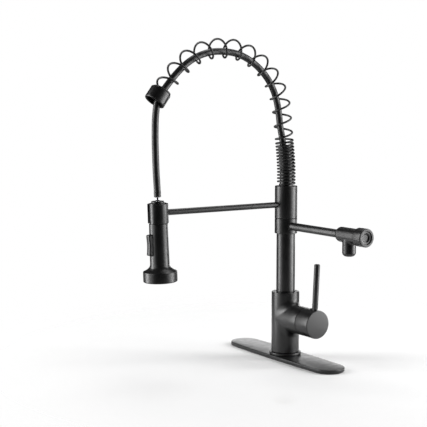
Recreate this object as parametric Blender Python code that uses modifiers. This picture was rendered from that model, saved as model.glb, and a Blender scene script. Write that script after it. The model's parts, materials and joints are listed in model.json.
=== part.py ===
"""Spring-neck pull-down kitchen faucet with a swinging pot filler, deck plate and side handle.

Metres, +Z up. The origin is on the column's axis, in the plane of the worktop.
The spring arch and the dock arm reach towards -Y. The handle and the pot filler point towards +X.
"""

from math import acos, asin, cos, hypot, pi, radians, sin, sqrt

import bmesh
import bpy
from mathutils import Matrix, Vector

MM = 0.001

# Fits
GAP = 0.3 * MM  # between pieces that touch or are pressed together
RUN = 0.25 * MM  # radial clearance of a turning fit
WELD = 0.002 * MM  # points this close are one point
CUT_PAST = 1.0 * MM  # how far a cutter runs past the face it opens
AXIS_MARK = 10.0 * MM  # drawn size of an empty
EDGE = 0.6 * MM  # the usual broken edge of a turned piece
FINE_EDGE = 0.4 * MM  # the broken edge of a small piece

# Facets round a turned piece
FINE = 24
PLAIN = 18
SMALL = 12

# Deck plate and its gasket
PLATE_LENGTH = 266.0 * MM
PLATE_WIDTH = 54.0 * MM
PLATE_END_RADIUS = 24.5 * MM
PLATE_THICK = 5.4 * MM
PLATE_EDGE = 1.6 * MM
GASKET_THICK = 1.0 * MM
GASKET_INSET = 1.2 * MM

# Base ring and mixer body
BASE_RING_RADIUS = 25.2 * MM
BASE_RING_HEIGHT = 3.6 * MM
BODY_RADIUS = 22.0 * MM
BODY_TOP = 107.0 * MM
BRANCH_HEIGHT = 66.5 * MM
BRANCH_END = 52.3 * MM
SOCKET_DEPTH = 21.0 * MM
WATERWAY_RADIUS = 3.0 * MM

# Worktop clamp
COUNTER_THICK = 38.0 * MM
SHANK_RADIUS = 16.5 * MM
SHANK_WALL = 2.6 * MM
SHANK_CLEAR = 1.0 * MM
SHANK_BELOW = 72.0 * MM
SHANK_ENGAGED = 14.0 * MM
THREAD_PITCH = 6.0 * MM
THREAD_DEPTH = 0.7 * MM
WASHER_RADIUS = 28.0 * MM
RUBBER_WASHER_THICK = 3.0 * MM
STEEL_WASHER_THICK = 2.0 * MM
NUT_HEIGHT = 11.0 * MM
NUT_ACROSS_CORNERS = 50.0 * MM
INLET_BORE = 2.6 * MM
INLET_FROM_SHANK = 1.7 * MM
INLET_FROM_MIDDLE = 2.6 * MM
INLET_BELOW = 12.0 * MM
INLET_ENGAGED = 8.0 * MM

# Handle: everything swings about one pivot, and its skirt runs in a round cup in the branch
PIVOT_FROM_BRANCH = 10.9 * MM
CAP_RADIUS = 22.0 * MM
CAP_WALL = 2.2 * MM
CAP_END_WALL = 3.4 * MM
CAP_AHEAD_OF_PIVOT = 18.8 * MM
CAP_BEHIND_PIVOT = 10.0 * MM
CAP_CHAMFER = 0.8 * MM
CUP_CLEAR = 0.25 * MM
CUP_DEPTH = 18.0 * MM
DOME_CLEAR = 0.8 * MM
DOME_WALL = 2.0 * MM
DOME_FRONT = 8.0 * MM
BONNET_WALL = 1.8 * MM
BONNET_BACK = 24.0 * MM
LEVER_RADIUS = 4.5 * MM
LEVER_ABOVE_PIVOT = 93.5 * MM
LEVER_FROM_PIVOT = 11.3 * MM
LEVER_LEAN = radians(3.6)
LEVER_INSIDE = 0.9 * MM
GRUB_RADIUS = 2.4 * MM
GRUB_FROM_PIVOT = 3.0 * MM
GRUB_PROUD = 1.2 * MM

# Ceramic cartridge
CARTRIDGE_RADIUS = 12.5 * MM
CARTRIDGE_WALL = 1.9 * MM
CARTRIDGE_BACK = 46.0 * MM
CARTRIDGE_FRONT = 4.5 * MM
ROTOR_FRONT = 4.5 * MM
ROTOR_BACK = 10.5 * MM
ROTOR_FLOOR = 3.5 * MM
STEM_RADIUS = 3.0 * MM
STEM_BALL_RADIUS = 2.5 * MM
STEM_ARM = 12.0 * MM
STEM_SOCKET_WALL = 3.2 * MM
STEM_SOCKET_LENGTH = 4.0 * MM
STEM_NECK = 4.0 * MM
PIN_RADIUS = 1.0 * MM
DISC_CLEAR = 0.4 * MM
DISC_THICK = 3.6 * MM
PORT_RADIUS = 2.2 * MM
PORT_CIRCLE = 6.4 * MM
HANDLE_TILT = radians(20.0)

# Column
COLUMN_RADIUS = 14.7 * MM
COLUMN_WALL = 2.2 * MM
COLUMN_TOP = 200.2 * MM
JOURNAL_RADIUS = 11.2 * MM
JOURNAL_WALL = 2.2 * MM
JOURNAL_ABOVE_SLEEVE = 24.7 * MM
LINER_ABOVE_JOURNAL = 1.5 * MM
LINER_ABOVE_SLEEVE = 63.7 * MM
LINER_WALL = 1.2 * MM
SPIGOT_CLEAR = 1.2 * MM
BUSH_WALL = 1.3 * MM
SEAL_HEIGHT = 1.6 * MM
SEAL_WALL = 1.2 * MM
SEAL_CLEAR = 0.05 * MM
SEAL_INSET = 2.2 * MM

# Pot filler
SLEEVE_RADIUS = 17.85 * MM
SLEEVE_EDGE = 0.6 * MM
POT_RING_HEIGHT = 24.1 * MM
PIPE_ABOVE_COLUMN = 12.1 * MM
PIPE_RADIUS = 6.3 * MM
PIPE_WALL = 1.3 * MM
PIPE_INSERTED = 4.0 * MM
GALLERY_HEIGHT = 9.0 * MM
GALLERY_DEPTH = 2.4 * MM
VALVE_START = 131.0 * MM
VALVE_LENGTH = 42.6 * MM
VALVE_RADIUS = 11.3 * MM
VALVE_SHOULDER = 4.5 * MM
VALVE_WALL = 3.7 * MM
VALVE_SEAT = 30.0 * MM
NOZZLE_FROM_START = 22.0 * MM
NOZZLE_RADIUS = 10.1 * MM
NOZZLE_ROOT = 1.7 * MM
NOZZLE_LENGTH = 31.2 * MM
NOZZLE_ROUNDING = 5.4 * MM
NOZZLE_LIP = 0.9 * MM
AERATOR_HEIGHT = 6.0 * MM
AERATOR_RECESS = 0.8 * MM
KNOB_RADIUS = 13.8 * MM
KNOB_LENGTH = 17.4 * MM
KNOB_DISH_RADIUS = 9.4 * MM
KNOB_DISH_DEPTH = 1.6 * MM
KNOB_DISH_SLOPE = 0.8 * MM
KNOB_EDGE = 1.2 * MM
KNOB_CLEAR = 0.9 * MM
SPINDLE_RADIUS = 3.4 * MM
SPINDLE_BODY_LENGTH = 17.0 * MM
SPINDLE_IN_KNOB = 11.0 * MM

# Dock arm and clip
DOCK_RING_HEIGHT = 51.0 * MM
ARM_ABOVE_SEAM = 21.7 * MM
ARM_RADIUS = 4.5 * MM
ARM_INSERTED = 4.0 * MM
REACH = 235.2 * MM
DOCK_LEAN = radians(2.0)
CLIP_WALL = 2.2 * MM
CLIP_CLEAR = 0.45 * MM
CLIP_ABOVE = 13.6 * MM
CLIP_BELOW = 15.0 * MM
CLIP_HALF_OPENING = radians(27.0)

# Spring and hose
WIRE_RADIUS = 1.55 * MM
COIL_RADIUS = 13.2 * MM
COIL_WIDENING = 0.7 * MM
CLOSED_PITCH = 5.1 * MM
OPENING_PITCH = 22.4 * MM
ARCH_PITCH = 27.0 * MM
COIL_ABOVE_SLEEVE = 2.3 * MM
CLOSED_LENGTH = 66.0 * MM
PITCH_CHANGE = 16.0 * MM
PITCH_GROWTH = 150.0 * MM
WIDENING = 80.0 * MM
NARROWING = 40.0 * MM
END_LENGTH = 16.0 * MM
END_CHANGE = 8.0 * MM
POINTS_PER_TURN = 10
ROUTE_STEP = 2.0 * MM
HOSE_RADIUS = 5.1 * MM
HOSE_CLEAR = 0.35 * MM
HOSE_IN_LINER = 3.0 * MM
HOSE_IN_COLLAR = 2.6 * MM
HOSE_LEAVES = 30.0 * MM
HOSE_BELOW_SLEEVE = 37.3 * MM
HOSE_STEP = 12.0 * MM
FITTING_HEIGHT = 10.0 * MM
COLLAR_LENGTH = 19.0 * MM
COLLAR_WALL = 1.0 * MM
COLLAR_CLEAR = 0.25 * MM
COLLAR_END_WALL = 2.4 * MM
COLLAR_LIP = 0.6 * MM

# The arch's centre line, as (y, z) points, from the top of the sleeve to the collar's open end.
# Both routes are drawn for this reach and sleeve height, and follow them when they change.
ROUTE_REACH = 235.2 * MM
ROUTE_SLEEVE_TOP = 275.3 * MM
ARCH_ROUTE = [
    (0.0, 270.0),
    (0.0, 300.0),
    (-1.8, 325.0),
    (-4.7, 350.0),
    (-8.2, 380.0),
    (-13.8, 411.0),
    (-29.0, 441.5),
    (-54.8, 467.0),
    (-86.5, 482.8),
    (-118.0, 487.2),
    (-149.0, 484.0),
    (-178.0, 472.0),
    (-202.8, 452.4),
    (-223.5, 430.0),
    (-240.8, 407.4),
]

# Where the hose leaves the arch's line, passes the collar's mouth (the second point) and hangs free
DROP_ROUTE = [
    (-230.2, 416.6),
    (-236.0, 404.6),
    (-237.9, 393.0),
    (-239.0, 381.0),
    (-239.4, 366.0),
    (-239.4, 347.0),
    (-238.8, 325.0),
    (-238.0, 305.0),
    (-237.0, 290.0),
]

# Sprayer, as heights above or below the arm's height along its own axis
NECK_RADIUS = 12.8 * MM
NECK_TOP = 14.5 * MM
SHOULDER = 15.4 * MM
GRIP_TOP_RADIUS = 13.9 * MM
GRIP_LOW_RADIUS = 14.4 * MM
GRIP_LOW = 75.0 * MM
RIM_TOP = 86.5 * MM
RIM_BOTTOM = 101.7 * MM
RIM_RADIUS = 25.3 * MM
RIM_EDGE = 1.2 * MM
SPRAYER_WALL = 1.8 * MM
TOP_CAP_RADIUS = 9.5 * MM
TOP_CAP_HEIGHT = 2.8 * MM
TOP_CAP_DIMPLE = 2.0 * MM
FACE_RECESS = 1.6 * MM
FACE_THICK = 3.0 * MM
FACE_MARGIN = 2.0 * MM
FACE_LEDGE = 2.0 * MM
HEAD_HEIGHT = 3.0 * MM
OUTLET_RADIUS = 8.0 * MM
OUTLET_HEIGHT = 9.0 * MM
OUTLET_RECESS = 0.4 * MM
DIVERTER_RADIUS = 6.6 * MM
DIVERTER_LENGTH = 56.0 * MM
DIVERTER_BORE = 3.0 * MM
INSERT_BORE = 4.6 * MM
CHECK_VALVE_HEIGHT = 9.0 * MM
STUD_RADIUS = 2.3 * MM
STUD_BALL_RADIUS = 3.3 * MM
BALL_IN_CAP = 0.4 * MM
BALL_IN_FERRULE = 0.2 * MM
STUD_FLANGE = 1.5 * MM
FERRULE_LENGTH = 8.0 * MM
FERRULE_WALL = 0.15 * MM
ROCKER_TOP = -31.0 * MM
ROCKER_HEIGHT = 31.0 * MM
ROCKER_WIDTH = 9.0 * MM
ROCKER_FACE = 19.6 * MM
ROCKER_BACK = 9.2 * MM
ROCKER_EDGE = 1.2 * MM
ROCKER_CLEAR = 1.0 * MM

# Worked out from the sizes above
DECK_TOP = GASKET_THICK + GAP + PLATE_THICK
RING_BOTTOM = DECK_TOP + GAP
BODY_BOTTOM = RING_BOTTOM + BASE_RING_HEIGHT + GAP
SHANK_TOP = BODY_BOTTOM + SHANK_ENGAGED
INLET_RADIUS = (SHANK_RADIUS - SHANK_WALL - INLET_FROM_SHANK - INLET_FROM_MIDDLE) / 2
INLET_SPACING = INLET_FROM_MIDDLE + INLET_RADIUS
PIVOT_X = BRANCH_END + PIVOT_FROM_BRANCH
CAP_FACE = PIVOT_X + CAP_AHEAD_OF_PIVOT
LEVER_TOP = BRANCH_HEIGHT + LEVER_ABOVE_PIVOT
SOCKET_FLOOR = BODY_TOP - SOCKET_DEPTH
COLUMN_BOTTOM = SOCKET_FLOOR + SEAL_HEIGHT + 2 * GAP
SEAM_HEIGHT = COLUMN_TOP + POT_RING_HEIGHT
SLEEVE_TOP = SEAM_HEIGHT + DOCK_RING_HEIGHT
JOURNAL_TOP = SLEEVE_TOP + JOURNAL_ABOVE_SLEEVE
LINER_TOP = SLEEVE_TOP + LINER_ABOVE_SLEEVE
HOSE_START = SLEEVE_TOP - HOSE_BELOW_SLEEVE
PIPE_HEIGHT = COLUMN_TOP + PIPE_ABOVE_COLUMN
VALVE_END = VALVE_START + VALVE_LENGTH
NOZZLE_X = VALVE_START + NOZZLE_FROM_START
NOZZLE_BOTTOM = PIPE_HEIGHT - NOZZLE_LENGTH
ARM_HEIGHT = SEAM_HEIGHT + ARM_ABOVE_SEAM
CLIP_INNER = NECK_RADIUS + CLIP_CLEAR
CLIP_RADIUS = CLIP_INNER + CLIP_WALL
CAP_INNER = CAP_RADIUS - CAP_WALL
CUP_RADIUS = hypot(CAP_RADIUS, CAP_BEHIND_PIVOT - CAP_CHAMFER) + CUP_CLEAR
DOME_RADIUS = CAP_INNER - DOME_CLEAR
LEVER_ROOT = CAP_INNER - LEVER_INSIDE
CARTRIDGE_BORE = CARTRIDGE_RADIUS - CARTRIDGE_WALL
BONNET_RADIUS = CARTRIDGE_RADIUS + GAP + BONNET_WALL
MOVING_DISC_RADIUS = CARTRIDGE_BORE - STEM_ARM * sin(HANDLE_TILT) - DISC_CLEAR
SPIGOT_RADIUS = COIL_RADIUS - WIRE_RADIUS - SPIGOT_CLEAR
HOSE_INSIDE = COIL_RADIUS - WIRE_RADIUS - HOSE_RADIUS - HOSE_CLEAR
COLLAR_INNER = COIL_RADIUS + WIRE_RADIUS + COLLAR_CLEAR
VALVE_BORE = VALVE_RADIUS - VALVE_WALL
NOZZLE_BORE = NOZZLE_RADIUS - NOZZLE_ROUNDING - NOZZLE_LIP
COIL_START = SLEEVE_TOP + COIL_ABOVE_SLEEVE
STEM_FRONT = CAP_FACE - PIVOT_X - CAP_END_WALL - GAP
LATHE_X = Matrix.Rotation(pi / 2, 4, "Y")
LATHE_Y = Matrix.Rotation(-pi / 2, 4, "X")


def clear_scene():
    for obj in list(bpy.data.objects):
        bpy.data.objects.remove(obj, do_unlink=True)


clear_scene()
PARTS = bpy.data.collections.new("spring_neck_faucet")
CUTTERS = bpy.data.collections.new("cutters")
CUTTERS.hide_render = True
bpy.context.scene.collection.children.link(PARTS)
bpy.context.scene.collection.children.link(CUTTERS)


def finish_material(name, colour, roughness, metallic):
    material = bpy.data.materials.new(name)
    material.use_nodes = True
    shader = material.node_tree.nodes["Principled BSDF"]
    shader.inputs["Base Color"].default_value = (*colour, 1.0)
    shader.inputs["Roughness"].default_value = roughness
    shader.inputs["Metallic"].default_value = metallic
    material.diffuse_color = (*colour, 1.0)
    return material


BLACK = finish_material("matte_black", (0.022, 0.022, 0.023), 0.42, 0.3)
HOSE_BLACK = finish_material("black_hose", (0.012, 0.012, 0.013), 0.5, 0.0)
RUBBER = finish_material("rubber", (0.03, 0.03, 0.03), 0.8, 0.0)
BRASS = finish_material("brass", (0.62, 0.46, 0.22), 0.32, 1.0)
STEEL = finish_material("stainless", (0.6, 0.6, 0.62), 0.28, 1.0)
CERAMIC = finish_material("ceramic", (0.85, 0.85, 0.83), 0.3, 0.0)
PLASTIC = finish_material("black_plastic", (0.03, 0.03, 0.031), 0.5, 0.0)
WHITE_PLASTIC = finish_material("white_plastic", (0.75, 0.75, 0.72), 0.45, 0.0)


def round_shading(mesh, angle=radians(30)):
    mesh.shade_smooth()
    mesh.set_sharp_from_angle(angle=angle)


def add_object(name, mesh, material, placed=None, collection=None):
    obj = bpy.data.objects.new(name, mesh)
    (collection or PARTS).objects.link(obj)
    if material is not None:
        mesh.materials.append(material)
    if placed is not None:
        obj.matrix_world = placed
    return obj


def add_empty(name, placed):
    empty = bpy.data.objects.new(name, None)
    empty.empty_display_size = AXIS_MARK
    PARTS.objects.link(empty)
    empty.matrix_world = placed
    return empty


def hang_on(empty, *pieces):
    """Parents the pieces to the empty without moving them."""
    bpy.context.view_layer.update()
    for piece in pieces:
        world = piece.matrix_world.copy()
        piece.parent = empty
        piece.matrix_parent_inverse = empty.matrix_world.inverted()
        piece.matrix_world = world


def profile_mesh(name, points, closed):
    mesh = bpy.data.meshes.new(name)
    edges = [(i, i + 1) for i in range(len(points) - 1)]
    if closed:
        edges.append((len(points) - 1, 0))
    mesh.from_pydata([(r, 0.0, z) for r, z in points], edges, [])
    return mesh


def turned(name, points, material, placed=None, steps=PLAIN, closed=False, collection=None):
    """A piece turned about its local Z. The profile (radius, height) runs down the outer side.
    An open profile starts and ends on the axis. A closed one is a ring."""
    obj = add_object(name, profile_mesh(name, points, closed), material, placed, collection)
    screw = obj.modifiers.new("turn", "SCREW")
    screw.axis = "Z"
    screw.steps = steps
    screw.render_steps = steps
    screw.use_merge_vertices = True
    screw.merge_threshold = WELD
    screw.use_smooth_shade = False
    return obj


def ring_profile(outer, inner, top, bottom, chamfer=0.0):
    if chamfer <= 0.0:
        return [(outer, top), (outer, bottom), (inner, bottom), (inner, top)]
    return [
        (outer - chamfer, top),
        (outer, top - chamfer),
        (outer, bottom + chamfer),
        (outer - chamfer, bottom),
        (inner, bottom),
        (inner, top),
    ]


def rod_profile(radius, top, bottom, chamfer=0.0):
    if chamfer <= 0.0:
        return [(0.0, top), (radius, top), (radius, bottom), (0.0, bottom)]
    return [
        (0.0, top),
        (radius - chamfer, top),
        (radius, top - chamfer),
        (radius, bottom + chamfer),
        (radius - chamfer, bottom),
        (0.0, bottom),
    ]


def arc_points(centre, radius, start, end, count):
    """Points on an arc of a profile, where the angle is measured from the outward direction."""
    step = (end - start) / count
    return [
        (centre[0] + radius * cos(start + step * i), centre[1] + radius * sin(start + step * i))
        for i in range(count + 1)
    ]


def baked(obj):
    """Applies the object's modifiers to its mesh, cleans and shades it, and returns the object."""
    bpy.context.view_layer.update()
    graph = bpy.context.evaluated_depsgraph_get()
    mesh = bpy.data.meshes.new_from_object(obj.evaluated_get(graph))
    obj.modifiers.clear()
    work = bmesh.new()
    work.from_mesh(mesh)
    bmesh.ops.remove_doubles(work, verts=work.verts, dist=WELD)
    many_sided = [face for face in work.faces if len(face.verts) > 4]
    bmesh.ops.triangulate(work, faces=many_sided)
    work.to_mesh(mesh)
    work.free()
    obj.data = mesh
    round_shading(mesh)
    return obj


def curve_to_mesh(curve_object, material):
    """A mesh object in the place of a curve object, with its end caps welded on."""
    bpy.context.view_layer.update()
    graph = bpy.context.evaluated_depsgraph_get()
    mesh = bpy.data.meshes.new_from_object(curve_object.evaluated_get(graph))
    name = curve_object.name
    placed = curve_object.matrix_world.copy()
    bpy.data.objects.remove(curve_object, do_unlink=True)
    work = bmesh.new()
    work.from_mesh(mesh)
    bmesh.ops.remove_doubles(work, verts=work.verts, dist=WELD)
    bmesh.ops.recalc_face_normals(work, faces=work.faces)
    work.to_mesh(mesh)
    work.free()
    mesh.materials.clear()
    round_shading(mesh)
    return add_object(name, mesh, material, placed)


def boolean(obj, other, operation="DIFFERENCE"):
    modifier = obj.modifiers.new(operation.lower(), "BOOLEAN")
    modifier.operation = operation
    modifier.solver = "EXACT"
    modifier.object = other
    return obj


def retire(obj):
    """Turns a shape into a hidden helper of the Boolean that uses it."""
    for collection in list(obj.users_collection):
        collection.objects.unlink(obj)
    CUTTERS.objects.link(obj)
    obj.hide_render = True
    obj.display_type = "WIRE"
    return obj


def turned_cutter(name, points, placed=None, steps=PLAIN, closed=False):
    cutter = turned(name, points, None, placed, steps, closed, CUTTERS)
    return retire(baked(cutter))


def drill(name, start, end, radius, steps=SMALL):
    """A round cutter between two points."""
    start = Vector(start)
    run = Vector(end) - start
    placed = Matrix.Translation(start) @ run.to_track_quat("Z", "Y").to_matrix().to_4x4()
    return turned_cutter(name, rod_profile(radius, run.length, 0.0), placed, steps)


def box_cutter(name, low, high, placed=None):
    mesh = bpy.data.meshes.new(name)
    work = bmesh.new()
    bmesh.ops.create_cube(work, size=1.0)
    size = Vector(high) - Vector(low)
    middle = (Vector(high) + Vector(low)) / 2
    grown = Matrix.Translation(middle) @ Matrix.Diagonal((*size, 1.0))
    bmesh.ops.transform(work, matrix=grown, verts=work.verts)
    work.to_mesh(mesh)
    work.free()
    return retire(add_object(name, mesh, None, placed, CUTTERS))


def cut(obj, *cutters):
    """Subtracts the cutters one after another."""
    for cutter in cutters:
        baked(boolean(obj, cutter))
    return obj


def along_x(x=0.0, y=0.0, z=0.0):
    """Places a turned piece with its axis along +X."""
    return Matrix.Translation((x, y, z)) @ LATHE_X


def plate_outline(length, width, end_radius, end_steps=8, side_steps=6):
    """A long outline with round ends and gently bowed long sides, anticlockwise."""
    straight = length / 2 - end_radius
    bow = width / 2 - end_radius
    side_radius = (straight**2 + bow**2) / (2 * bow)
    half_angle = asin(straight / side_radius)
    points = []
    for turn in (0.0, pi):
        for i in range(end_steps + 1):
            angle = -pi / 2 + pi * i / end_steps
            points.append((straight + end_radius * cos(angle), end_radius * sin(angle), turn))
        for i in range(1, side_steps):
            angle = half_angle - 2 * half_angle * i / side_steps
            points.append((side_radius * sin(angle), width / 2 - side_radius * (1 - cos(angle)), turn))
    return [(x * cos(t) - y * sin(t), x * sin(t) + y * cos(t)) for x, y, t in points]


def flat_piece(name, outline, thickness, material, placed):
    """A flat outline made as a filled 2D curve, with its middle on the placed plane."""
    curve = bpy.data.curves.new(name, "CURVE")
    curve.dimensions = "2D"
    curve.fill_mode = "BOTH"
    curve.extrude = thickness / 2
    spline = curve.splines.new("POLY")
    spline.points.add(len(outline) - 1)
    for point, (x, y) in zip(spline.points, outline):
        point.co = (x, y, 0.0, 1.0)
    spline.use_cyclic_u = True
    obj = add_object(name, curve, None, placed)
    return curve_to_mesh(obj, material)


def route_point(y, z):
    """A point of the routes, moved with the reach and the sleeve's height."""
    return Vector((0.0, y * MM * REACH / ROUTE_REACH, z * MM + SLEEVE_TOP - ROUTE_SLEEVE_TOP))


def smooth_path(marks, step):
    """Even points along a smooth curve through the given points."""
    marks = [2 * marks[0] - marks[1]] + marks + [2 * marks[-1] - marks[-2]]
    fine = []
    for p0, p1, p2, p3 in zip(marks, marks[1:], marks[2:], marks[3:]):
        for i in range(40):
            t = i / 40
            straight = 2 * p1 + (p2 - p0) * t
            bend = (2 * p0 - 5 * p1 + 4 * p2 - p3) * t**2 + (3 * p1 - p0 - 3 * p2 + p3) * t**3
            fine.append(0.5 * (straight + bend))
    fine.append(marks[-2])
    return resampled(fine, step)


def resampled(points, step):
    """The same path with evenly spaced points."""
    lengths = [0.0]
    for a, b in zip(points, points[1:]):
        lengths.append(lengths[-1] + (b - a).length)
    count = max(2, round(lengths[-1] / step))
    even = []
    index = 0
    for i in range(count + 1):
        wanted = lengths[-1] * i / count
        while index < len(points) - 2 and lengths[index + 1] < wanted:
            index += 1
        span = lengths[index + 1] - lengths[index]
        even.append(points[index].lerp(points[index + 1], (wanted - lengths[index]) / span))
    return even


def path_length(points):
    return sum((b - a).length for a, b in zip(points, points[1:]))


def tube(name, points, radius, material, resolution=2):
    curve = bpy.data.curves.new(name, "CURVE")
    curve.dimensions = "3D"
    curve.bevel_depth = radius
    curve.bevel_resolution = resolution
    curve.use_fill_caps = True
    spline = curve.splines.new("POLY")
    spline.points.add(len(points) - 1)
    for mark, place in zip(spline.points, points):
        mark.co = (*place, 1.0)
    curve.materials.append(material)
    obj = bpy.data.objects.new(name, curve)
    PARTS.objects.link(obj)
    return obj


# ---------------------------------------------------------------- deck and clamp


def make_deck_plate():
    outline = plate_outline(PLATE_LENGTH, PLATE_WIDTH, PLATE_END_RADIUS)
    middle = GASKET_THICK + GAP + PLATE_THICK / 2
    plate = flat_piece("deck_plate", outline, PLATE_THICK, BLACK, Matrix.Translation((0, 0, middle)))
    top = DECK_TOP + CUT_PAST
    hole = drill("deck_hole", (0, 0, -CUT_PAST), (0, 0, top), SHANK_RADIUS + SHANK_CLEAR, PLAIN)
    cut(plate, hole)
    edge = plate.modifiers.new("edge", "BEVEL")
    edge.width = PLATE_EDGE
    edge.segments = 2
    edge.limit_method = "ANGLE"
    edge.angle_limit = radians(60)
    return baked(plate)


def make_deck_gasket():
    outline = plate_outline(
        PLATE_LENGTH - 2 * GASKET_INSET, PLATE_WIDTH - 2 * GASKET_INSET, PLATE_END_RADIUS - GASKET_INSET
    )
    placed = Matrix.Translation((0, 0, GASKET_THICK / 2))
    gasket = flat_piece("deck_gasket", outline, GASKET_THICK, RUBBER, placed)
    top = GASKET_THICK + CUT_PAST
    hole = drill("gasket_hole", (0, 0, -CUT_PAST), (0, 0, top), SHANK_RADIUS + SHANK_CLEAR, PLAIN)
    return cut(gasket, hole)


def make_base_ring():
    profile = ring_profile(
        BASE_RING_RADIUS, SHANK_RADIUS + SHANK_CLEAR, RING_BOTTOM + BASE_RING_HEIGHT, RING_BOTTOM, EDGE
    )
    return baked(turned("base_ring", profile, BLACK, steps=FINE, closed=True))


def thread_profile(radius, top, bottom):
    """The outer side of a threaded rod, as plain ridges."""
    count = int((top - bottom) / THREAD_PITCH)
    points = [(radius, top)]
    for i in range(count):
        z = top - THREAD_PITCH * (i + 0.5)
        points.append((radius, z + THREAD_PITCH * 0.2))
        points.append((radius - THREAD_DEPTH, z))
        points.append((radius, z - THREAD_PITCH * 0.2))
    points.append((radius, bottom))
    return points


def make_shank():
    outer = [(SHANK_RADIUS, SHANK_TOP)]
    outer += thread_profile(SHANK_RADIUS, -COUNTER_THICK, -SHANK_BELOW)
    inner = SHANK_RADIUS - SHANK_WALL
    profile = outer + [(inner, -SHANK_BELOW), (inner, SHANK_TOP)]
    return baked(turned("mounting_shank", profile, BRASS, steps=PLAIN, closed=True))


def make_clamp():
    """The rubber washer, steel washer and nut that grip the worktop from below."""
    inner = SHANK_RADIUS + GAP
    top = -COUNTER_THICK
    washer_bottom = top - RUBBER_WASHER_THICK
    rubber_profile = ring_profile(WASHER_RADIUS, inner, top, washer_bottom)
    rubber = turned("counter_washer", rubber_profile, RUBBER, closed=True)
    steel_top = washer_bottom - GAP
    steel_bottom = steel_top - STEEL_WASHER_THICK
    steel_profile = ring_profile(WASHER_RADIUS, inner, steel_top, steel_bottom)
    steel = turned("clamp_washer", steel_profile, STEEL, closed=True)
    nut_top = steel_bottom - GAP
    nut_bottom = nut_top - NUT_HEIGHT
    nut = turned("mounting_nut", rod_profile(NUT_ACROSS_CORNERS / 2, nut_top, nut_bottom), BRASS, steps=6)
    bore = drill("nut_bore", (0, 0, nut_top + CUT_PAST), (0, 0, nut_bottom - CUT_PAST), inner, PLAIN)
    cut(nut, bore)
    return baked(rubber), baked(steel), nut


def make_inlet(name, side):
    """A threaded inlet nipple in the underside of the body, for a supply hose."""
    top = SHANK_TOP + INLET_ENGAGED
    profile = [
        (INLET_RADIUS - EDGE, top),
        (INLET_RADIUS - EDGE, SHANK_TOP + GAP),
        (INLET_RADIUS, SHANK_TOP + GAP - EDGE),
        (INLET_RADIUS, -INLET_BELOW),
        (INLET_BORE, -INLET_BELOW),
        (INLET_BORE, top),
    ]
    placed = Matrix.Translation((0, side * INLET_SPACING, 0))
    return baked(turned(name, profile, BRASS, placed, PLAIN, True))


# ---------------------------------------------------------------- mixer body


def make_mixer_body():
    """Cast body: an upright barrel joined to the side branch, bored for the cartridge, shank and column."""
    barrel = rod_profile(BODY_RADIUS, BODY_TOP, BODY_BOTTOM, EDGE)
    body = baked(turned("mixer_body", barrel, BLACK, steps=FINE))
    arm = rod_profile(CAP_RADIUS, BRANCH_END, 0.0, EDGE / 2)
    branch = turned("branch", arm, None, along_x(z=BRANCH_HEIGHT), FINE)
    boolean(body, retire(baked(branch)), "UNION")
    baked(body)

    bonnet_hole = BONNET_RADIUS + GAP
    cup_floor = sqrt(CUP_RADIUS**2 - CUP_DEPTH**2)
    mouth = [(0.0, CUT_PAST - PIVOT_FROM_BRANCH), (CUP_RADIUS, CUT_PAST - PIVOT_FROM_BRANCH)]
    start = -asin(PIVOT_FROM_BRANCH / CUP_RADIUS)
    mouth += arc_points((0, 0), CUP_RADIUS, start, -acos(cup_floor / CUP_RADIUS), 6)
    mouth += [
        (bonnet_hole, -CUP_DEPTH),
        (bonnet_hole, -BONNET_BACK - GAP),
        (CARTRIDGE_RADIUS + GAP, -BONNET_BACK - GAP),
        (CARTRIDGE_RADIUS + GAP, -CARTRIDGE_BACK - GAP),
        (0.0, -CARTRIDGE_BACK - GAP),
    ]
    back = PIVOT_X - CARTRIDGE_BACK - GAP + CUT_PAST
    socket = COLUMN_RADIUS + BUSH_WALL + 2 * GAP
    low = BODY_BOTTOM - CUT_PAST
    high = BODY_TOP + CUT_PAST
    level = BRANCH_HEIGHT
    cutters = [
        turned_cutter("branch_mouth", mouth, along_x(PIVOT_X, 0, level), FINE),
        drill("column_socket", (0, 0, SOCKET_FLOOR), (0, 0, high), socket, FINE),
        drill("shank_socket", (0, 0, low), (0, 0, SHANK_TOP + GAP), SHANK_RADIUS + GAP, PLAIN),
        drill("mixed_riser", (0, 0, level), (0, 0, SOCKET_FLOOR + CUT_PAST), 2 * WATERWAY_RADIUS),
        drill("mixed_port", (-WATERWAY_RADIUS, 0, level), (back, 0, level), WATERWAY_RADIUS),
    ]
    socket_top = SHANK_TOP + INLET_ENGAGED + GAP
    narrow = WATERWAY_RADIUS - EDGE
    for side, label in ((1, "cold"), (-1, "hot")):
        y = side * INLET_SPACING
        fit = INLET_RADIUS - EDGE + GAP
        cutters.append(drill(f"{label}_socket", (0, y, SHANK_TOP), (0, y, socket_top), fit))
        port = (back, side * PORT_CIRCLE, level - CARTRIDGE_RADIUS / 2)
        cutters.append(drill(f"{label}_waterway", (0, y, socket_top - CUT_PAST), port, narrow))
    return cut(body, *cutters)


# ---------------------------------------------------------------- cartridge and handle


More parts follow.
